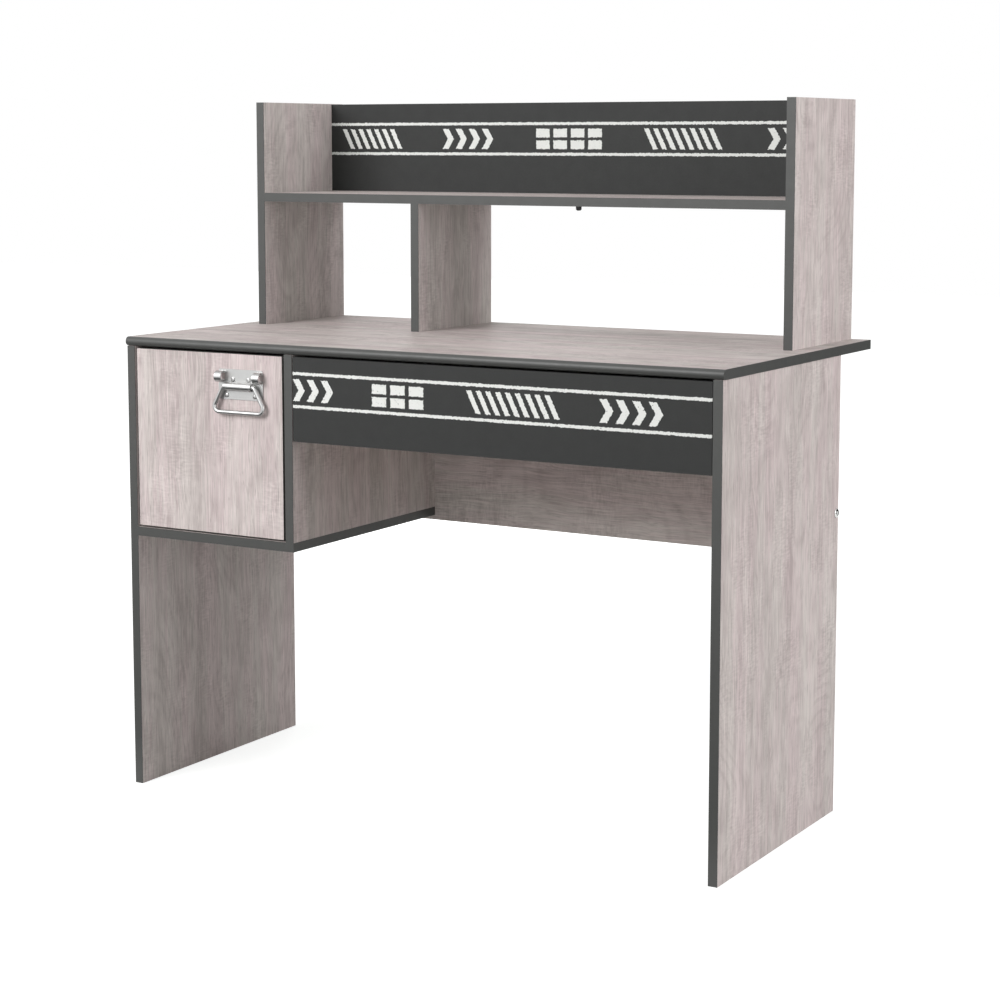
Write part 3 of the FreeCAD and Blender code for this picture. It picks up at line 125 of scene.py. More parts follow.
RECESSED_PARTS = {
    "leg_bolts": "zinc_steel",
    "handle_screws": "nickel_steel",
    "panel_screws": "zinc_steel",
    "hinge_cup_screws": "zinc_steel",
    "hinge_plate_screws": "zinc_steel",
    "hinge_arm_screws": "zinc_steel",
    "catch_screws": "zinc_steel",
    "strike_screws": "zinc_steel",
    "channel_screws": "zinc_steel",
    "rail_screws": "zinc_steel",
}

# Rows of marks: metres from mark to mark, the painted share of that, the marks' slant, how far they
# fold into arrows, and the gap across their middle.
STENCIL_KINDS = {
    "bars": {"pitch": 0.017, "fill": 0.52, "slant": 0.5, "fold": 0.0, "bridge": 0.0},
    "arrows": {"pitch": 0.027, "fill": 0.46, "slant": 0.62, "fold": 1.0, "bridge": 0.0},
    "blocks": {"pitch": 0.034, "fill": 0.78, "slant": 0.0, "fold": 0.0, "bridge": 0.005},
}
# Each row's kind, its middle as a share of the board's width, and how many marks it has.
DRAWER_MARKS = (
    ("arrows", 0.06, 3),
    ("blocks", 0.27, 3),
    ("bars", 0.55, 9),
    ("arrows", 0.83, 4),
)
HUTCH_MARKS = (
    ("bars", 0.09, 7),
    ("arrows", 0.3, 4),
    ("blocks", 0.5, 4),
    ("bars", 0.72, 8),
    ("arrows", 0.92, 3),
)

# Noise that bends the wood's fibres: how fine it is, its detail and how far it moves a fibre.
SWAY = {"scale": (8.0, 8.0, 3.5), "detail": 2.0, "reach": (0.022, 0.022, 0.0)}
FIGURE = {"scale": (26.0, 26.0, 11.0), "detail": 1.0, "reach": (0.007, 0.007, 0.0)}
# Layers of the wood: width in metres, length over width, and detail.
WOOD_LAYERS = {
    "cloud": (0.03, 1.8, 3.0),
    "ripple": (0.013, 0.25, 2.0),
    "ripple_patch": (0.07, 1.6, 1.0),
    "dash": (0.0019, 7.0, 0.0),
    "crossing": (0.01, 24.0, 1.0),
    "pore_patch": (0.028, 5.0, 2.0),
    "ring_patch": (0.09, 2.0, 1.0),
    "broad_hue": (0.05, 9.0, 1.0),
    "fine_hue": (0.0045, 20.0, 1.0),
}
# Layers whose width a user may change: length over width, and detail.
BAND_FORM = (20.0, 1.0)
STRAND_FORM = (30.0, 1.0)
FIBRE_FORM = (34.0, 2.0)
HAIR_FORM = (50.0, 1.0)
STRAND_WIDTH = 0.25
# Values between which a layer's noise rises from nothing to its full strength.
RIPPLE_EDGES = (0.45, 0.65)
DASH_EDGES = (0.68, 0.8)
PORE_WIDTH = 0.014
PORE_EDGES = (0.48, 0.62)
ARCH_SCALE = (6.0, 6.0, 2.4)
RING_COUNT = 150.0
RING_EDGES = (0.2, 1.0)
RING_PATCH_EDGES = (0.47, 0.6)
KNOT_LENGTH = 1.7
KNOT_EDGES = (0.03, 0.1)
HUE_EDGES = (0.4, 0.6)
BROAD_HUE_SHARE = 0.6
FINE_HUE_SHARE = 0.4
# The wood's middle tone, and how much each layer lightens or darkens it.
MIDDLE_TONE = 0.56
BAND_WEIGHT = 0.9
STRAND_WEIGHT = 0.6
CLOUD_WEIGHT = 0.95
FIBRE_WEIGHT = 1.2
HAIR_WEIGHT = 1.2
RIPPLE_WEIGHT = 1.1
DASH_WEIGHT = -0.35
RING_WEIGHT = -0.2
PORE_WEIGHT = -0.45
KNOT_WEIGHT = -0.4
# The wood's roughness from the fibres' valleys to their ridges, and its relief.
FIBRE_EDGES = (0.25, 0.75)
FIBRE_GLOSS = (0.66, 0.5)
FIBRE_RELIEF = 0.6
PORE_RELIEF = 0.8
# How much the wood mirrors, and its bump's strength and distance.
DECOR_SHINE = 0.2
DECOR_BUMP = (0.25, 0.0002)
# Each board takes its cut of the decor this far from the last one's.
DECOR_STEP = (0.731, 0.413, 0.617)
# The specks in plastic, paint and metal.
BROAD_SPECKS = (0.07, 0.07, 0.07)
FINE_SPECK_DETAIL = 3.0
BROAD_SPECK_DETAIL = 2.0
FINE_SPECK_SHARE = 0.6
BROAD_SPECK_SHARE = 0.4
SPECK_EDGES = (0.3, 0.7)
SPECK_RELIEF = 0.2
# The worn paint and the dark board under it.
WANDER_SCALE = (330.0, 0.0, 330.0)
WANDER_DETAIL = 3.0
WORN_SCALE = (420.0, 420.0, 420.0)
WORN_DETAIL = 3.0
WORN_EDGES = (0.27, 0.33)
PAINT_LAYER = 0.0004
PAINT_ROUGHNESS = 0.12
BOARD_RELIEF = 0.3
BOARD_SHINE = 0.15
BOARD_BUMP = (0.25, 0.00015)
# The screws: how near corners merge and cuts fall, the share of the head's radius that counts as its
# rim, the point over the shank's radius, the dome over the head's radius and height, and the recess.
MERGE_DISTANCE = 1e-6
CUT_DISTANCE = 1e-7
RIM = 0.9
POINT_WIDTH = 0.2
POINT_LENGTH = 2
DOME_OUTLINE = (
    (1.0, 1.0),
    (1.0, 0.62),
    (0.97, 0.45),
    (0.88, 0.26),
    (0.74, 0.12),
    (0.5, 0.03),
)
SPIN_STEPS = 36
RECESS_TOP = 0.5
SHARP_ANGLE = math.radians(40)
# The stage: what the lamps face, each lamp's place, width and power, and the corners of the dark cards.
AIM = (0.0, 0.0, 0.6)
LAMPS = {
    "front_lamp": ((-1.6, -3.4, 2.5), 2.0, "front_power"),
    "near_lamp": ((3.4, -2.4, 1.4), 2.0, "near_power"),
    "right_lamp": ((4.2, 0.1, 1.8), 2.0, "right_power"),
    "back_lamp": ((-1.8, 3.0, 0.5), 0.9, "back_power"),
}
CARDS = {
    "low_card": ((-2.4, -2.3, 0.002), (0.6, -0.4, 0.004)),
    "side_card": ((2.6, 0.9, 0.0), (2.62, 10.0, 2.4)),
    "rear_card": ((-0.4, 2.0, 0.0), (2.6, 2.02, 0.8)),
}
CARD_SHADE = (0.03, 0.03, 0.03)
WHITE = (1.0, 1.0, 1.0)
FLOOR_REACH = 12.0
GLOW_EDGES = (1.2, 4.0)
# Sockets of the colour mix node, whose names repeat.
MIX_FACTOR = 0
MIX_FIRST = 6
MIX_SECOND = 7
MIX_RESULT = 2


class Finish(NamedTuple):
    """Specks' size, roughness and its spread, relief, metal, the specks' shade, and their stretch."""

    grain: float
    gloss: float
    spread: float
    relief: float = 0.1
    metal: float = 0.0
    dark: float = 0.88
    stretch: tuple = None


FINISHES = {
    "dark_edging": Finish(grain=0.0014, gloss=0.45, spread=0.25),
    "box_board": Finish(grain=0.0012, gloss=0.55, spread=0.2, dark=0.9),
    "hardboard": Finish(grain=0.0018, gloss=0.6, spread=0.3, dark=0.7),
    "dowel_wood": Finish(grain=0.0016, gloss=0.65, spread=0.2, dark=0.75, stretch=(0.2, 1.0, 1.0)),
    "nickel_steel": Finish(grain=0.002, gloss=0.36, spread=0.1, relief=0.03, metal=1.0, dark=0.92),
    "zinc_steel": Finish(grain=0.0016, gloss=0.34, spread=0.2, relief=0.05, metal=1.0),
    "bright_zinc": Finish(grain=0.0016, gloss=0.16, spread=0.08, relief=0.03, metal=1.0),
    "dark_bolt": Finish(grain=0.0012, gloss=0.4, spread=0.2, relief=0.08, metal=0.6),
    "runner_paint": Finish(grain=0.002, gloss=0.42, spread=0.14, relief=0.08),
    "roller_nylon": Finish(grain=0.0015, gloss=0.48, spread=0.1, relief=0.06),
    "catch_plastic": Finish(grain=0.0012, gloss=0.45, spread=0.16, relief=0.1),
    "magnet_iron": Finish(grain=0.001, gloss=0.6, spread=0.2, relief=0.15),
    "stencil_board": Finish(grain=0.0016, gloss=0.5, spread=0.2),
}


def shade(red, green, blue):
    """A colour as the screen shows it, from 0 to 255, as Blender's linear values."""
    values = []
    for screen in (red, green, blue):
        part = screen / 255
        values.append(part / 12.92 if part <= 0.04045 else ((part + 0.055) / 1.055) ** 2.4)
    return tuple(values)


def colour_property(name, description, default):
    """A colour that a user may change."""
    return bpy.props.FloatVectorProperty(
        name=name, description=description, subtype="COLOR", size=3, min=0, max=1, default=default
    )


def length_property(name, description, default):
    """A length in metres that a user may change."""
    return bpy.props.FloatProperty(
        name=name, description=description, unit="LENGTH", subtype="DISTANCE", default=default
    )


def power_property(name, description, default):
    """A lamp's power in watts that a user may change."""
    return bpy.props.FloatProperty(
        name=name, description=description, unit="POWER", default=default
    )


def share_property(name, description, default):
    """A plain number that a user may change."""
    return bpy.props.FloatProperty(name=name, description=description, default=default)


def angle_property(name, description, degrees):
    """An angle that a user may change."""
    return bpy.props.FloatProperty(
        name=name, description=description, subtype="ANGLE", default=math.radians(degrees)
    )


class DecorLooks(bpy.types.PropertyGroup):
    """Colours and sizes of the pale wood decor."""

    pale: colour_property("Pale Wood", "The lightest fibres", shade(228, 215, 214))
    deep: colour_property("Deep Wood", "The darkest fibres", shade(185, 171, 171))
    warm: colour_property("Warm Tint", "Tints the rosy bands", (1.0, 0.964, 0.974))
    cool: colour_property("Cool Tint", "Tints the grey bands", (0.966, 0.99, 0.968))
    bounce: colour_property("Bounce", "Greyer wood for the light that it throws on", (0.56, 0.544, 0.527))
    band: length_property("Band Width", "Width of the broad tone bands", 0.045)
    fibre: length_property("Fibre Width", "Width of the fibres", 0.0024)
    hair: length_property("Hair Width", "Width of the finest lines", 0.0011)
    knot: length_property("Knot Spacing", "Distance between the small knots", 0.085)
    banding: length_property("Banding", "Thickness of the banding round the door", 0.0006)
    banding_shade: colour_property("Banding Shade", "The banding round the door", shade(64, 63, 62))


class PaintLooks(bpy.types.PropertyGroup):
    """Colours and sizes of the dark boards and the stencilled rows on them."""

    board: colour_property("Board", "The dark board", shade(61, 61, 61))
    board_shade: colour_property("Board Shade", "The board's darker specks", shade(56, 56, 56))
    paint: colour_property("Paint", "The stencil paint", shade(238, 237, 235))
    line: length_property("Line Thickness", "Thickness of the two painted lines", 0.0048)
    line_gap: length_property("Line Gap", "Height between the painted lines", 0.0525)
    drawer_drop: length_property("Drawer Drop", "Upper line below the drawer's top edge", 0.026)
    hutch_drop: length_property("Hutch Drop", "Upper line below the hutch panel's top edge", 0.036)
    mark_height: length_property("Mark Height", "Height of the stencilled marks", 0.035)
    ragged: length_property("Ragged Edge", "How far the paint's edge wanders", 0.0021)


class FittingLooks(bpy.types.PropertyGroup):
    """Colours of the edgings, the drawer box and the metal and plastic fittings."""

    edging: colour_property("Edging", "The dark edge bands", shade(76, 76, 75))
    edging_shade: colour_property("Edging Shade", "Specks in the edge bands", shade(69, 69, 68))
    nickel: colour_property("Nickel", "The handle's plating", (0.53, 0.53, 0.525))
    zinc: colour_property("Zinc", "The plated fittings", (0.46, 0.465, 0.47))
    bright_zinc: colour_property("Bright Zinc", "The leg bolts", (0.66, 0.66, 0.65))
    black: colour_property("Black Zinc", "The dark bolt under the shelf", (0.05, 0.05, 0.052))
    box_board: colour_property("Box Board", "The drawer's sides and back", shade(205, 203, 198))
    hardboard: colour_property("Hardboard", "The drawer's bottom", shade(150, 118, 86))
    runner: colour_property("Runner Paint", "The painted drawer runners", shade(232, 231, 226))
    nylon: colour_property("Nylon", "The rollers", shade(240, 238, 230))
    catch: colour_property("Catch Plastic", "The door catch's case", shade(225, 222, 214))
    magnet: colour_property("Magnet", "The door catch's magnet", shade(58, 57, 56))
    dowel: colour_property("Dowel", "The beech dowels", shade(196, 158, 112))


class ScrewLooks(bpy.types.PropertyGroup):
    """Form of the recesses in the heads of screws and bolts."""

    recess_reach: share_property(
        "Recess Reach", "Length of the cross's arms over the head's radius", 0.56
    )
    recess_width: share_property(
        "Recess Width", "Width of the cross's arms over the head's radius", 0.26
    )
    recess_depth: share_property("Recess Depth", "Depth of the recess over the head's height", 0.6)
    socket_width: share_property(
        "Socket Width", "Width of the bolts' hexagon over the head's radius", 0.54
    )
    twist: angle_property("Twist", "Turn from one screw to the next", 37)


class StageLooks(bpy.types.PropertyGroup):
    """Light, floor and camera."""

    floor: colour_property("Floor", "The pale floor", (0.5, 0.5, 0.5))
    glow: share_property("Floor Glow", "White that the camera sees on the floor near the desk", 0.78)
    far_glow: share_property("Far Glow", "White that the camera sees on the floor far away", 0.98)
    ambient: share_property("Ambient", "Strength of the light from all round", 0.37)
    ambient_tint: colour_property("Ambient Tint", "Colour of the light from all round", (0.93, 1.0, 0.945))
    front_power: power_property("Front Lamp", "Power of the lamp in front, on the left", 119)
    near_power: power_property("Near Lamp", "Power of the low lamp near the camera", 5)
    right_power: power_property("Right Lamp", "Power of the lamp on the right", 76)
    back_power: power_property("Back Lamp", "Power of the lamp behind, on the left", 45)
    camera_place: bpy.props.FloatVectorProperty(
        name="Camera Place",
        description="Where the camera stands",
        subtype="TRANSLATION",
        unit="LENGTH",
        default=(1.8819, -3.1856, 1.0799),
    )
    camera_turn: angle_property("Camera Turn", "Turn of the camera to the left", 30.404)
    camera_tilt: angle_property("Camera Tilt", "Tilt of the camera downwards", 6.798)
    lens: bpy.props.FloatProperty(
        name="Lens", description="Focal length", unit="CAMERA", default=81.546
    )
    shift: share_property("Lens Shift", "Shift of the frame upwards", -0.09)


class NodeBench:
    """Adds nodes to a tree and joins them."""

    def __init__(self, tree):
        self.tree = tree

    def add(self, kind, **settings):
        node = self.tree.nodes.new(kind)
        for name, value in settings.items():
            setattr(node, name, value)
        return node

    def feed(self, socket, value):
        """Joins an output to a socket, or sets the socket's own value."""
        if isinstance(value, bpy.types.NodeSocket):
            self.tree.links.new(value, socket)
        else:
            socket.default_value = value

    def number(self, operation, *values):
        node = self.add("ShaderNodeMath", operation=operation)
        for socket, value in zip(node.inputs, values):
            self.feed(socket, value)
        return node.outputs[0]

    def vector(self, operation, *values):
        node = self.add("ShaderNodeVectorMath", operation=operation)
        for socket, value in zip(node.inputs, values):
            self.feed(socket, value)
        return node.outputs[0]

    def together(self, x, y, z):
        node = self.add("ShaderNodeCombineXYZ")
        for socket, value in zip(node.inputs, (x, y, z)):
            self.feed(socket, value)
        return node.outputs[0]

    def noise(self, place, detail, output="Fac"):
        node = self.add("ShaderNodeTexNoise", noise_dimensions="3D")
        self.feed(node.inputs["Vector"], place)
        node.inputs["Scale"].default_value = 1.0
        node.inputs["Detail"].default_value = detail
        return node.outputs[output]

    def wander(self, place, scale, detail, reach):
        """Moves a place by a soft noise."""
        noise = self.noise(self.vector("MULTIPLY", place, scale), detail, "Color")
        offset = self.vector("SUBTRACT", noise, (0.5, 0.5, 0.5))
        return self.vector("ADD", place, self.vector("MULTIPLY", offset, reach))

    def ramp(self, value, edges, ends=(0.0, 1.0)):
        """Rises from one end to the other as the value passes from edge to edge."""
        node = self.add("ShaderNodeMapRange")
        for socket, number in zip(node.inputs, (value, *edges, *ends)):
            self.feed(socket, number)
        return node.outputs[0]

    def blend(self, factor, first, second, kind="MIX"):
        node = self.add("ShaderNodeMix", data_type="RGBA", blend_type=kind)
        self.feed(node.inputs[MIX_FACTOR], factor)
        self.feed(node.inputs[MIX_FIRST], first)
        self.feed(node.inputs[MIX_SECOND], second)
        return node.outputs[MIX_RESULT]

    def object_place(self):
        return self.add("ShaderNodeTexCoord").outputs["Object"]

    def split(self, place):
        """The place's X, Y and Z."""
        node = self.add("ShaderNodeSeparateXYZ")
        self.feed(node.inputs[0], place)
        return node.outputs

    def use(self, group, **values):
        """Places a shared group with its own values, which are named with underscores."""
        node = self.add("ShaderNodeGroup", node_tree=group)
        for name, value in values.items():
            self.feed(node.inputs[name.replace("_", " ").title()], value)
        return node.outputs


def start_group(name, inputs, outputs):
    """A new shader node group with named sockets, its bench, and its input and output nodes."""
    tree = bpy.data.node_groups.new(name, "ShaderNodeTree")
    for socket, kind in inputs:
        tree.interface.new_socket(name=socket, in_out="INPUT", socket_type="NodeSocket" + kind)
    for socket, kind in outputs:
        tree.interface.new_socket(name=socket, in_out="OUTPUT", socket_type="NodeSocket" + kind)
    bench = NodeBench(tree)
    given = bench.add("NodeGroupInput").outputs
    results = bench.add("NodeGroupOutput").inputs
    return tree, bench, given, results


def shared_group(name, build):
    """The group of that name, built the first time that it is asked for."""
    return bpy.data.node_groups.get(name) or build(name)


def build_wood_grain(name):
    """Bands, fibres, pores, arched rings and knots of a wood decor that runs along Z."""
    tree, bench, given, results = start_group(
        name,
        (
            ("Vector", "Vector"),
            ("Pale", "Color"),
            ("Deep", "Color"),
            ("Warm", "Color"),
            ("Cool", "Color"),
            ("Band", "Float"),
            ("Fibre", "Float"),
            ("Hair", "Float"),
            ("Knot", "Float"),
        ),
        (("Color", "Color"), ("Roughness", "Float"), ("Height", "Float")),
    )

    def layer(width, length_ratio, detail):
        length = bench.number("MULTIPLY", width, length_ratio)
        return bench.noise(
            bench.vector("DIVIDE", bent, bench.together(width, width, length)), detail
        )

    def times(first, second):
        return bench.number("MULTIPLY", first, second)

    def weigh(value, weight):
        return times(bench.number("SUBTRACT", value, 0.5), weight)

    bent = bench.wander(given["Vector"], **SWAY)
    bent = bench.wander(bent, **FIGURE)
    band = layer(given["Band"], *BAND_FORM)
    strand = layer(times(given["Band"], STRAND_WIDTH), *STRAND_FORM)
    fibre = layer(given["Fibre"], *FIBRE_FORM)
    hair = layer(given["Hair"], *HAIR_FORM)
    plain = {title: layer(*form) for title, form in WOOD_LAYERS.items()}
    ripple = times(
        weigh(plain["ripple"], RIPPLE_WEIGHT), bench.ramp(plain["ripple_patch"], RIPPLE_EDGES)
    )
    dashes = bench.ramp(plain["dash"], DASH_EDGES)
    crossing = bench.number("ABSOLUTE", bench.number("SUBTRACT", plain["crossing"], 0.5))
    pores = times(
        bench.ramp(crossing, (0.0, PORE_WIDTH), (1.0, 0.0)),
        bench.ramp(plain["pore_patch"], PORE_EDGES),
    )
    arch = bench.noise(bench.vector("MULTIPLY", bent, ARCH_SCALE), 0.0)
    rings = bench.ramp(bench.number("SINE", times(arch, RING_COUNT)), RING_EDGES)
    rings = times(rings, bench.ramp(plain["ring_patch"], RING_PATCH_EDGES))
    cells = bench.add("ShaderNodeTexVoronoi")
    cells.inputs["Scale"].default_value = 1.0
    cell = bench.together(given["Knot"], given["Knot"], times(given["Knot"], KNOT_LENGTH))
    bench.feed(cells.inputs["Vector"], bench.vector("DIVIDE", bent, cell))
    knots = bench.ramp(cells.outputs["Distance"], KNOT_EDGES, (1.0, 0.0))
    tone = bench.number("ADD", MIDDLE_TONE, weigh(band, BAND_WEIGHT))
    for part in (
        weigh(strand, STRAND_WEIGHT),
        weigh(plain["cloud"], CLOUD_WEIGHT),
        weigh(fibre, FIBRE_WEIGHT),
        weigh(hair, HAIR_WEIGHT),
        ripple,
        times(dashes, DASH_WEIGHT),
        times(rings, RING_WEIGHT),
        times(pores, PORE_WEIGHT),
        times(knots, KNOT_WEIGHT),
    ):
        tone = bench.number("ADD", tone, part)
    hue = bench.number(
        "ADD", times(plain["broad_hue"], BROAD_HUE_SHARE), times(plain["fine_hue"], FINE_HUE_SHARE)
    )
    colour = bench.blend(tone, given["Deep"], given["Pale"])
    tint = bench.blend(bench.ramp(hue, HUE_EDGES), given["Warm"], given["Cool"])
    bench.feed(results["Color"], bench.blend(1.0, colour, tint, "MULTIPLY"))
    bench.feed(results["Roughness"], bench.ramp(fibre, FIBRE_EDGES, FIBRE_GLOSS))
    ridges = bench.number("ADD", hair, times(fibre, FIBRE_RELIEF))
    grooves = times(bench.number("MAXIMUM", pores, dashes), PORE_RELIEF)
    bench.feed(results["Height"], bench.number("SUBTRACT", ridges, grooves))
    return tree


def build_fine_mottle(name):
    """Small specks of tone, gloss and height for plastic, paint and metal."""
    tree, bench, given, results = start_group(
        name,
        (
            ("Vector", "Vector"),
            ("Main", "Color"),
            ("Second", "Color"),
            ("Grain", "Float"),
            ("Gloss", "Float"),
            ("Spread", "Float"),
        ),
        (("Color", "Color"), ("Roughness", "Float"), ("Height", "Float")),
    )
    grain = bench.together(given["Grain"], given["Grain"], given["Grain"])
    place = bench.vector("DIVIDE", given["Vector"], grain)
    fine = bench.noise(place, FINE_SPECK_DETAIL)
    broad = bench.noise(bench.vector("MULTIPLY", place, BROAD_SPECKS), BROAD_SPECK_DETAIL)
    mixed = bench.number(
        "ADD",
        bench.number("MULTIPLY", fine, FINE_SPECK_SHARE),
        bench.number("MULTIPLY", broad, BROAD_SPECK_SHARE),
    )
    specks = bench.ramp(mixed, SPECK_EDGES)
    bench.feed(results["Color"], bench.blend(specks, given["Main"], given["Second"]))
    swing = bench.number("MULTIPLY", bench.number("SUBTRACT", mixed, 0.5), given["Spread"])
    bench.feed(results["Roughness"], bench.number("ADD", given["Gloss"], swing))
    bench.feed(results["Height"], fine)
    return tree


def build_stencil_row(name):
    """One row of like marks: slanted bars, folded into arrows, or blocks cut by a bridge."""
    tree, bench, given, results = start_group(
        name,
        (
            ("Along", "Float"),
            ("Up", "Float"),
            ("Reach", "Float"),
            ("Half Height", "Float"),
            ("Pitch", "Float"),
            ("Fill", "Float"),
            ("Slant", "Float"),
            ("Fold", "Float"),
            ("Bridge", "Float"),
        ),
        (("Mask", "Float"),),
    )
    height = bench.number("ABSOLUTE", given["Up"])
    bend = bench.number("MULTIPLY", bench.number("SUBTRACT", height, given["Up"]), given["Fold"])
    lean = bench.number("MULTIPLY", bench.number("ADD", given["Up"], bend), given["Slant"])
    along = bench.number("ADD", given["Along"], lean)
    cell = bench.number("DIVIDE", bench.number("ADD", along, given["Reach"]), given["Pitch"])
    off_centre = bench.number("ABSOLUTE", bench.number("SUBTRACT", bench.number("FRACT", cell), 0.5))
    mask = bench.number("LESS_THAN", off_centre, bench.number("MULTIPLY", given["Fill"], 0.5))
    for inside in (
        bench.number("LESS_THAN", bench.number("ABSOLUTE", along), given["Reach"]),
        bench.number("LESS_THAN", height, given["Half Height"]),
        bench.number("GREATER_THAN", height, bench.number("MULTIPLY", given["Bridge"], 0.5)),
    ):
        mask = bench.number("MULTIPLY", mask, inside)
    bench.feed(results["Mask"], mask)
    return tree


def start_material(name):
    """A new node material, its bench and its shader."""
    material = bpy.data.materials.new(name)
    material.use_nodes = True
    bench = NodeBench(material.node_tree)
    return material, bench, material.node_tree.nodes["Principled BSDF"]


def add_relief(bench, shader, height, strength, distance):
    """A bump in the shader's normal."""
    bump = bench.add("ShaderNodeBump")
    bump.inputs["Strength"].default_value = strength
    bump.inputs["Distance"].default_value = distance
    bench.feed(bump.inputs["Height"], height)
    bench.feed(shader.inputs["Normal"], bump.outputs["Normal"])


def opaque(colour):
    return (*colour, 1.0)


def band_mask(bench, node, thickness):
    """1 on a board's four narrow sides and on the thin line that their banding shows in front."""
    low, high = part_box(node)
    place = bench.split(bench.object_place())
    mask = None
    for along, first, last in ((place["X"], low.x, high.x), (place["Z"], low.z, high.z)):
        away = bench.number("ABSOLUTE", bench.number("SUBTRACT", along, (first + last) / 2))
        side = bench.number("GREATER_THAN", away, (last - first) / 2 - thickness)
        mask = bench.number("MAXIMUM", mask, side) if mask else side
    return mask


def decor_material(name, looks, flat, number):
    """Pale wood decor, along Z on upright boards and along X on flat ones."""
    material, bench, shader = start_material(name + "_decor")
    turn = bench.add("ShaderNodeMapping")
    bench.feed(turn.inputs["Vector"], bench.object_place())
    turn.inputs["Location"].default_value = [step * number for step in DECOR_STEP]
    turn.inputs["Rotation"].default_value = (0.0, -math.pi / 2 if flat else 0.0, 0.0)
    wood = bench.use(
        shared_group("wood_grain", build_wood_grain),
        vector=turn.outputs["Vector"],
        pale=opaque(looks.pale),
        deep=opaque(looks.deep),
        warm=opaque(looks.warm),
        cool=opaque(looks.cool),
        band=looks.band,
        fibre=looks.fibre,
        hair=looks.hair,
        knot=looks.knot,
    )
    colour = wood["Color"]
    if name in BANDED_BOARDS:
        banding = band_mask(bench, name, looks.banding)
        colour = bench.blend(banding, colour, opaque(looks.banding_shade))
    thrown = bench.add("ShaderNodeLightPath").outputs["Is Diffuse Ray"]
    colour = bench.blend(thrown, colour, opaque(looks.bounce))
    bench.feed(shader.inputs["Base Color"], colour)
    bench.feed(shader.inputs["Roughness"], wood["Roughness"])
    shader.inputs["Specular IOR Level"].default_value = DECOR_SHINE
    add_relief(bench, shader, wood["Height"], *DECOR_BUMP)
    return material


def place_specks(bench, title, place, main, second):
    """The shared specks with a finish's values."""
    finish = FINISHES[title]
    return bench.use(
        shared_group("fine_mottle", build_fine_mottle),
        vector=place,
        main=opaque(main),
        second=opaque(second),
        grain=finish.grain,
        gloss=finish.gloss,
        spread=finish.spread,
    )


def mottled_material(title, main, second=None):
    """Plastic, paint or metal with fine specks, drawn out along an axis where its finish says so."""
    finish = FINISHES[title]
    material, bench, shader = start_material(title)
    place = bench.object_place()
    if finish.stretch:
        place = bench.vector("MULTIPLY", place, finish.stretch)
    specks = place_specks(bench, title, place, main, second or darker(main, finish.dark))
    bench.feed(shader.inputs["Base Color"], specks["Color"])
    bench.feed(shader.inputs["Roughness"], specks["Roughness"])
    shader.inputs["Metallic"].default_value = finish.metal
    add_relief(bench, shader, specks["Height"], finish.relief, finish.grain * SPECK_RELIEF)
    return material


def darker(colour, share):
    return tuple(part * share for part in colour)


def stencilled_material(name, looks, node, upper, marks):
    """Dark board whose front carries two worn lines with rows of marks between them."""
    material, bench, shader = start_material(name)
    low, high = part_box(node)
    place = bench.object_place()
    specks = place_specks(bench, "stencil_board", place, looks.board, looks.board_shade)
    ragged = looks.ragged * 2
    x, y, z = bench.split(bench.wander(place, WANDER_SCALE, WANDER_DETAIL, (ragged, 0.0, ragged)))
    lower = upper - looks.line_gap
    paint = None
    for height in (upper, lower):
        away = bench.number("ABSOLUTE", bench.number("SUBTRACT", z, height))
        line = bench.number("LESS_THAN", away, looks.line / 2)
        paint = bench.number("MAXIMUM", paint, line) if paint else line
    up = bench.number("SUBTRACT", z, (upper + lower) / 2)
    for kind, share, count in marks:
        centre = low.x + share * (high.x - low.x)
        form = STENCIL_KINDS[kind]
        row = bench.use(
            shared_group("stencil_row", build_stencil_row),
            along=bench.number("SUBTRACT", x, centre),
            up=up,
            reach=count * form["pitch"] / 2,
            half_height=looks.mark_height / 2,
            **form,
        )
        paint = bench.number("MAXIMUM", paint, row["Mask"])
    worn = bench.noise(bench.vector("MULTIPLY", place, WORN_SCALE), WORN_DETAIL)
    paint = bench.number("MULTIPLY", paint, bench.ramp(worn, WORN_EDGES))
    front = bench.number("LESS_THAN", y, low.y + PAINT_LAYER)
    paint = bench.number("MULTIPLY", paint, front)
    colour = bench.blend(paint, specks["Color"], opaque(looks.paint))
    bench.feed(shader.inputs["Base Color"], colour)
    rough = bench.number("MULTIPLY", paint, PAINT_ROUGHNESS)
    rough = bench.number("ADD", specks["Roughness"], rough)
    bench.feed(shader.inputs["Roughness"], rough)
    shader.inputs["Specular IOR Level"].default_value = BOARD_SHINE
    relief = bench.number("ADD", bench.number("MULTIPLY", specks["Height"], BOARD_RELIEF), paint)
    add_relief(bench, shader, relief, *BOARD_BUMP)
    return material


def separate_solids(node):
    """Each solid of a CAD node, as a list of its corners."""
    shape = bmesh.new()
    shape.from_mesh(frame["nodes"][node].data)
    bmesh.ops.remove_doubles(shape, verts=shape.verts, dist=MERGE_DISTANCE)
    waiting = set(shape.verts)
    solids = []
    while waiting:
        border = [waiting.pop()]
        corners = []
        while border:
            corner = border.pop()
            corners.append(corner.co.copy())
            for edge in corner.link_edges:
                neighbour = edge.other_vert(corner)
                if neighbour in waiting:
                    waiting.remove(neighbour)
                    border.append(neighbour)
        solids.append(corners)
    shape.free()
    return sorted(solids, key=lambda corners: tuple(min(corners, key=tuple)))


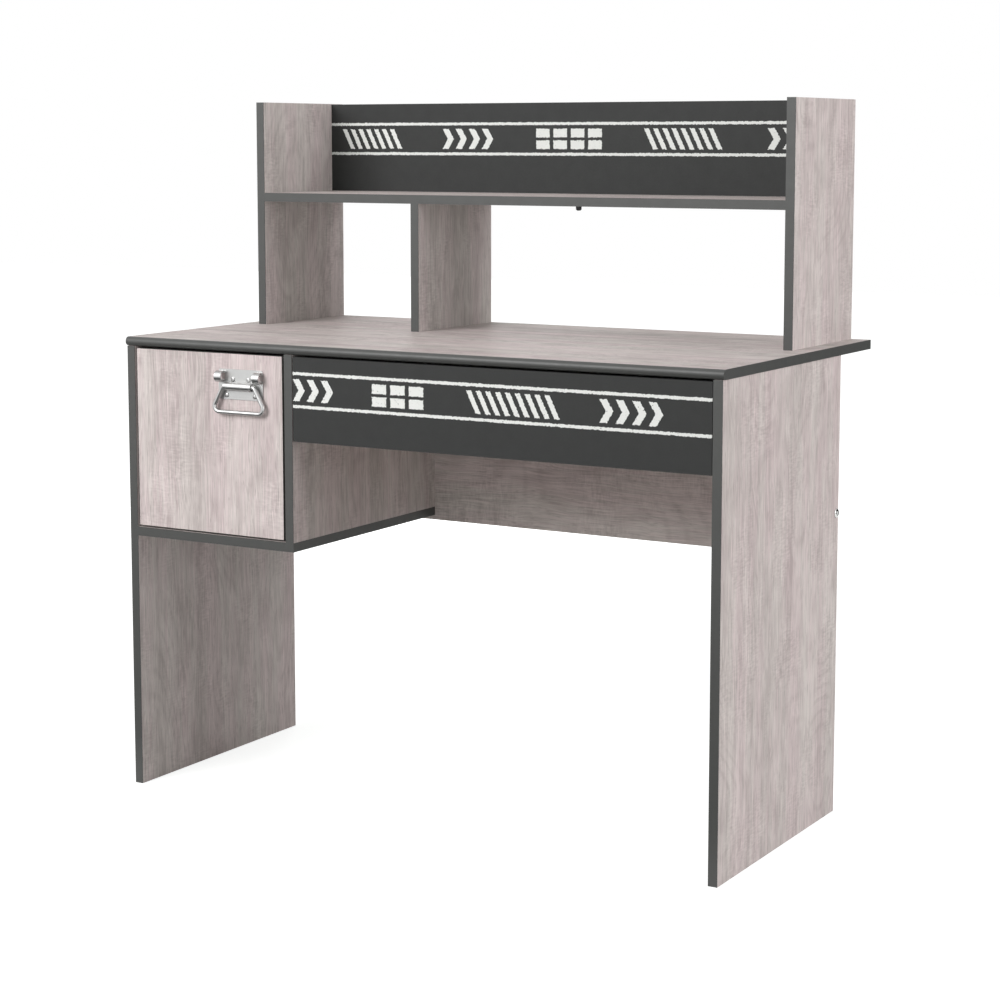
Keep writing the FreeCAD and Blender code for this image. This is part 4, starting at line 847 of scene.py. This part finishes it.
class ScrewSize:
    """Where a CAD screw's head is, which way it faces, and the screw's radii and heights."""

    def __init__(self, corners):
        low = Vector([min(corner[axis] for corner in corners) for axis in range(3)])
        high = Vector([max(corner[axis] for corner in corners) for axis in range(3)])
        sides = high - low
        axis = max(range(3), key=lambda one: sides[one])
        middle = (low + high) / 2
        line = Vector([float(one == axis) for one in range(3)])
        arms = [corner - middle for corner in corners]
        radii = [(arm.cross(line).length, arm.dot(line)) for arm in arms]
        self.head = max(radius for radius, height in radii)
        wide = [height for radius, height in radii if radius > self.head * RIM]
        self.way = line if sum(wide) > 0 else -line
        self.length = sides[axis]
        self.place = middle + self.way * (self.length / 2)
        self.tall = self.length / 2 - min(abs(height) for height in wide)
        tip = [radius for radius, height in radii if height * line.dot(self.way) < 0]
        self.shank = max(radius for radius in tip if radius < self.head * RIM)


def spin_blank(size):
    """One screw or bolt along Z with its head's top at the origin: a domed head and a pointed shank."""
    shape = bmesh.new()
    outline = [
        (0.0, -size.length),
        (size.shank * POINT_WIDTH, -size.length),
        (size.shank, -size.length + size.shank * POINT_LENGTH),
        (size.shank, -size.tall),
    ]
    outline += [(size.head * across, -size.tall * down) for across, down in DOME_OUTLINE]
    outline.append((0.0, 0.0))
    corners = [shape.verts.new((radius, 0.0, height)) for radius, height in outline]
    edges = [shape.edges.new(pair) for pair in zip(corners, corners[1:])]
    bmesh.ops.spin(
        shape,
        geom=corners + edges,
        axis=(0, 0, 1),
        cent=(0, 0, 0),
        angle=math.tau,
        steps=SPIN_STEPS,
        use_merge=True,
    )
    bmesh.ops.remove_doubles(shape, verts=shape.verts, dist=MERGE_DISTANCE)
    bmesh.ops.recalc_face_normals(shape, faces=shape.faces)
    return shape


def cross_arms(size, looks):
    """The cross recess: cutting lines with their offsets, and a test of whether a place is inside."""
    reach = size.head * looks.recess_reach
    half = size.head * looks.recess_width / 2
    lines = (Vector((1, 0, 0)), Vector((0, 1, 0)))

    def inside(place):
        near, far = sorted(abs(place.dot(line)) for line in lines)
        return near < half and far < reach

    return lines, (-reach, -half, half, reach), inside


def hexagon(size, looks):
    """The hexagon socket: cutting lines with their offsets, and a test of whether a place is inside."""
    half = size.head * looks.socket_width / 2
    turns = (0, math.pi / 3, math.pi * 2 / 3)
    lines = [Vector((math.cos(turn), math.sin(turn), 0)) for turn in turns]

    def inside(place):
        return max(abs(place.dot(line)) for line in lines) < half

    return lines, (-half, half), inside


def sink_recess(shape, recess, top, depth):
    """Cuts a recess's outline into the faces above a height and pushes the faces inside it down."""
    lines, offsets, inside = recess
    for line in lines:
        for offset in offsets:
            parts = set()
            for face in shape.faces:
                if face.calc_center_median().z > top:
                    parts.add(face)
                    parts.update(face.edges)
                    parts.update(face.verts)
            bmesh.ops.bisect_plane(
                shape,
                geom=list(parts),
                dist=CUT_DISTANCE,
                plane_co=line * offset,
                plane_no=line,
            )
    middles = {face: face.calc_center_median() for face in shape.faces}
    chosen = [face for face, middle in middles.items() if middle.z > top and inside(middle)]
    pushed = bmesh.ops.extrude_face_region(shape, geom=chosen)["geom"]
    floor = [part for part in pushed if isinstance(part, bmesh.types.BMVert)]
    bmesh.ops.translate(shape, vec=(0, 0, -depth), verts=floor)
    bmesh.ops.recalc_face_normals(shape, faces=shape.faces)


def build_screws(node, looks):
    """A piece with every screw or bolt of a CAD node, each with its recess turned its own way."""
    whole = bmesh.new()
    for number, corners in enumerate(separate_solids(node)):
        size = ScrewSize(corners)
        shape = spin_blank(size)
        recess = hexagon(size, looks) if node == "leg_bolts" else cross_arms(size, looks)
        sink_recess(shape, recess, -size.tall * RECESS_TOP, size.tall * looks.recess_depth)
        turn = size.way.to_track_quat("Z", "Y").to_matrix().to_4x4()
        twist = Matrix.Rotation(number * looks.twist, 4, "Z")
        matrix = Matrix.Translation(size.place) @ turn @ twist
        bmesh.ops.transform(shape, matrix=matrix, verts=shape.verts)
        mesh = bpy.data.meshes.new("one_screw")
        shape.to_mesh(mesh)
        shape.free()
        whole.from_mesh(mesh)
        bpy.data.meshes.remove(mesh)
    mesh = bpy.data.meshes.new(node + "_cut")
    whole.to_mesh(mesh)
    whole.free()
    mesh.shade_smooth()
    mesh.set_sharp_from_angle(angle=SHARP_ANGLE)
    mesh.materials.append(frame["nodes"][node].data.materials[0])
    piece = bpy.data.objects.new(node + "_cut", mesh)
    bpy.context.scene.collection.objects.link(piece)
    return piece


def paint_nodes(names, material):
    """Gives CAD nodes a material."""
    for name in names:
        slots = frame["nodes"][name].data.materials
        slots.clear()
        slots.append(material)


class DESK_OT_dress_boards(bpy.types.Operator):
    """Gives every wood board its own cut of the decor"""

    bl_idname = "desk.dress_boards"
    bl_label = "Dress Boards"

    def execute(self, context):
        looks = context.scene.desk_decor
        for number, name in enumerate(UPRIGHT_BOARDS + FLAT_BOARDS, start=1):
            paint_nodes((name,), decor_material(name, looks, name in FLAT_BOARDS, number))
        return {"FINISHED"}


class DESK_OT_dress_edgings(bpy.types.Operator):
    """Gives the edge bands their dark plastic"""

    bl_idname = "desk.dress_edgings"
    bl_label = "Dress Edgings"

    def execute(self, context):
        looks = context.scene.desk_fittings
        paint_nodes(EDGINGS, mottled_material("dark_edging", looks.edging, looks.edging_shade))
        return {"FINISHED"}


class DESK_OT_stencil_panels(bpy.types.Operator):
    """Paints the drawer front and the hutch back panel"""

    bl_idname = "desk.stencil_panels"
    bl_label = "Stencil Panels"

    def execute(self, context):
        looks = context.scene.desk_paint
        for node, drop, marks in (
            ("drawer_front", looks.drawer_drop, DRAWER_MARKS),
            ("hutch_back_panel", looks.hutch_drop, HUTCH_MARKS),
        ):
            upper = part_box(node)[1].z - drop
            material = stencilled_material(node + "_stencil", looks, node, upper, marks)
            paint_nodes((node,), material)
        return {"FINISHED"}


class DESK_OT_dress_drawer_box(bpy.types.Operator):
    """Gives the drawer box, its bottom and all dowels their boards and wood"""

    bl_idname = "desk.dress_drawer_box"
    bl_label = "Dress Drawer Box"

    def execute(self, context):
        looks = context.scene.desk_fittings
        paint_nodes(BOX_BOARDS, mottled_material("box_board", looks.box_board))
        paint_nodes(("drawer_bottom",), mottled_material("hardboard", looks.hardboard))
        paint_nodes(DOWELS, mottled_material("dowel_wood", looks.dowel))
        return {"FINISHED"}


class DESK_OT_dress_handle(bpy.types.Operator):
    """Plates the door's drop handle"""

    bl_idname = "desk.dress_handle"
    bl_label = "Dress Handle"

    def execute(self, context):
        nickel = context.scene.desk_fittings.nickel
        paint_nodes(NICKEL_PARTS, mottled_material("nickel_steel", nickel))
        return {"FINISHED"}


class DESK_OT_dress_fittings(bpy.types.Operator):
    """Gives screws, hinges, runners, rollers and the door catch their metal, paint and plastic"""

    bl_idname = "desk.dress_fittings"
    bl_label = "Dress Fittings"

    def execute(self, context):
        looks = context.scene.desk_fittings
        for names, title, colour in (
            (ZINC_PARTS, "zinc_steel", looks.zinc),
            (("leg_bolts",), "bright_zinc", looks.bright_zinc),
            (("shelf_bolt",), "dark_bolt", looks.black),
            (RUNNER_PARTS, "runner_paint", looks.runner),
            (ROLLERS, "roller_nylon", looks.nylon),
            (("catch_case",), "catch_plastic", looks.catch),
            (("catch_magnet",), "magnet_iron", looks.magnet),
        ):
            paint_nodes(names, mottled_material(title, colour))
        return {"FINISHED"}


class DESK_OT_cut_screws(bpy.types.Operator):
    """Builds the screws and leg bolts anew with domed heads and their recesses"""

    bl_idname = "desk.cut_screws"
    bl_label = "Cut Screws"

    def execute(self, context):
        for node, slot in RECESSED_PARTS.items():
            piece = build_screws(node, context.scene.desk_screws)
            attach(piece, frame["nodes"][node]["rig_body"])
            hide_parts(node)
        return {"FINISHED"}


def add_area_lamp(name, place, aim, size, power):
    """A square soft lamp that faces its aim and that the camera doesn't see."""
    lamp = bpy.data.lights.new(name, "AREA")
    lamp.shape = "SQUARE"
    lamp.size = size
    lamp.energy = power
    holder = bpy.data.objects.new(name, lamp)
    holder.location = place
    holder.rotation_euler = (Vector(aim) - Vector(place)).to_track_quat("-Z", "Y").to_euler()
    holder.visible_camera = False
    bpy.context.scene.collection.objects.link(holder)


def seen_directly(bench):
    """1 for rays from the camera, from a mirror or through glass, and 0 for others."""
    path = bench.add("ShaderNodeLightPath").outputs
    mirrored = bench.number("MAXIMUM", path["Is Camera Ray"], path["Is Glossy Ray"])
    return bench.number("MAXIMUM", mirrored, path["Is Transmission Ray"])


def light_world(looks):
    """Even light from all round, with white behind the object."""
    world = bpy.data.worlds.new("studio")
    world.use_nodes = True
    bench = NodeBench(world.node_tree)
    world.node_tree.nodes.clear()
    ambient = bench.add("ShaderNodeBackground")
    ambient.inputs["Color"].default_value = opaque(looks.ambient_tint)
    ambient.inputs["Strength"].default_value = looks.ambient
    white = bench.add("ShaderNodeBackground")
    white.inputs["Color"].default_value = opaque(WHITE)
    white.inputs["Strength"].default_value = 1.0
    choice = bench.add("ShaderNodeMixShader")
    bench.feed(choice.inputs[0], seen_directly(bench))
    bench.feed(choice.inputs[1], ambient.outputs[0])
    bench.feed(choice.inputs[2], white.outputs[0])
    bench.feed(bench.add("ShaderNodeOutputWorld").inputs["Surface"], choice.outputs[0])
    bpy.context.scene.world = world


def lay_floor(looks):
    """A wide pale floor that shows white with the object's soft shadow on it."""
    mesh = bpy.data.meshes.new("studio_floor")
    shape = bmesh.new()
    bmesh.ops.create_grid(shape, x_segments=1, y_segments=1, size=FLOOR_REACH)
    shape.to_mesh(mesh)
    shape.free()
    floor = bpy.data.objects.new("studio_floor", mesh)
    bpy.context.scene.collection.objects.link(floor)
    material, bench, shader = start_material("studio_floor")
    shader.inputs["Base Color"].default_value = opaque(looks.floor)
    shader.inputs["Roughness"].default_value = 1.0
    shader.inputs["Specular IOR Level"].default_value = 0.0
    shader.inputs["Emission Color"].default_value = opaque(WHITE)
    away = bench.add("ShaderNodeVectorMath", operation="LENGTH")
    bench.feed(away.inputs[0], bench.object_place())
    glow = bench.ramp(away.outputs["Value"], GLOW_EDGES, (looks.glow, looks.far_glow))
    glow = bench.number("MULTIPLY", seen_directly(bench), glow)
    bench.feed(shader.inputs["Emission Strength"], glow)
    mesh.materials.append(material)


def add_dark_card(name, low, high):
    """A flat dark card that only mirrors show, as a studio uses to give metal its dark side."""
    mesh = bpy.data.meshes.new(name)
    shape = bmesh.new()
    bmesh.ops.create_cube(shape, size=1.0)
    low = Vector(low)
    high = Vector(high)
    bmesh.ops.scale(shape, vec=high - low, verts=shape.verts)
    bmesh.ops.translate(shape, vec=(low + high) / 2, verts=shape.verts)
    shape.to_mesh(mesh)
    shape.free()
    card = bpy.data.objects.new(name, mesh)
    bpy.context.scene.collection.objects.link(card)
    card.visible_camera = False
    card.visible_diffuse = False
    card.visible_shadow = False
    card.visible_transmission = False
    material, bench, shader = start_material(name)
    shader.inputs["Base Color"].default_value = opaque(CARD_SHADE)
    shader.inputs["Roughness"].default_value = 1.0
    shader.inputs["Specular IOR Level"].default_value = 0.0
    mesh.materials.append(material)


def place_camera(looks):
    """The camera at the photograph's viewing angle."""
    camera = bpy.data.cameras.new("studio_camera")
    camera.lens = looks.lens
    camera.shift_y = looks.shift
    holder = bpy.data.objects.new("studio_camera", camera)
    holder.location = looks.camera_place
    holder.rotation_euler = (math.pi / 2 - looks.camera_tilt, 0.0, looks.camera_turn)
    bpy.context.scene.collection.objects.link(holder)
    bpy.context.scene.camera = holder


class DESK_OT_set_stage(bpy.types.Operator):
    """Sets the floor, the lamps, the world and the camera"""

    bl_idname = "desk.set_stage"
    bl_label = "Set Stage"

    def execute(self, context):
        looks = context.scene.desk_stage
        context.scene.view_settings.view_transform = "Standard"
        lay_floor(looks)
        light_world(looks)
        for name, (place, width, power) in LAMPS.items():
            add_area_lamp(name, place, AIM, width, getattr(looks, power))
        for name, (low, high) in CARDS.items():
            add_dark_card(name, low, high)
        place_camera(looks)
        return {"FINISHED"}


class DESK_PT_looks(bpy.types.Panel):
    """Lists the steps that dress the desk"""

    bl_idname = "DESK_PT_looks"
    bl_label = "Student Desk"
    bl_space_type = "VIEW_3D"
    bl_region_type = "UI"
    bl_category = "Desk"

    def draw(self, context):
        for operator in OPERATORS:
            self.layout.operator(operator.bl_idname)


OPERATORS = (
    DESK_OT_set_stage,
    DESK_OT_dress_boards,
    DESK_OT_dress_edgings,
    DESK_OT_stencil_panels,
    DESK_OT_dress_drawer_box,
    DESK_OT_dress_handle,
    DESK_OT_dress_fittings,
    DESK_OT_cut_screws,
)
PROPERTY_GROUPS = {
    "desk_decor": DecorLooks,
    "desk_paint": PaintLooks,
    "desk_fittings": FittingLooks,
    "desk_screws": ScrewLooks,
    "desk_stage": StageLooks,
}


def register():
    for name, group in PROPERTY_GROUPS.items():
        bpy.utils.register_class(group)
        setattr(bpy.types.Scene, name, bpy.props.PointerProperty(type=group))
    for operator in OPERATORS:
        bpy.utils.register_class(operator)
    bpy.utils.register_class(DESK_PT_looks)


def unregister():
    bpy.utils.unregister_class(DESK_PT_looks)
    for operator in reversed(OPERATORS):
        bpy.utils.unregister_class(operator)
    for name, group in PROPERTY_GROUPS.items():
        delattr(bpy.types.Scene, name)
        bpy.utils.unregister_class(group)


def write_sizes():
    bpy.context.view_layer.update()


def main():
    register()
    bpy.ops.desk.set_stage()
    bpy.ops.desk.dress_boards()
    bpy.ops.desk.dress_edgings()
    bpy.ops.desk.stencil_panels()
    bpy.ops.desk.dress_drawer_box()
    bpy.ops.desk.dress_handle()
    bpy.ops.desk.dress_fittings()
    bpy.ops.desk.cut_screws()
    write_sizes()


if __name__ == "__main__":
    main()
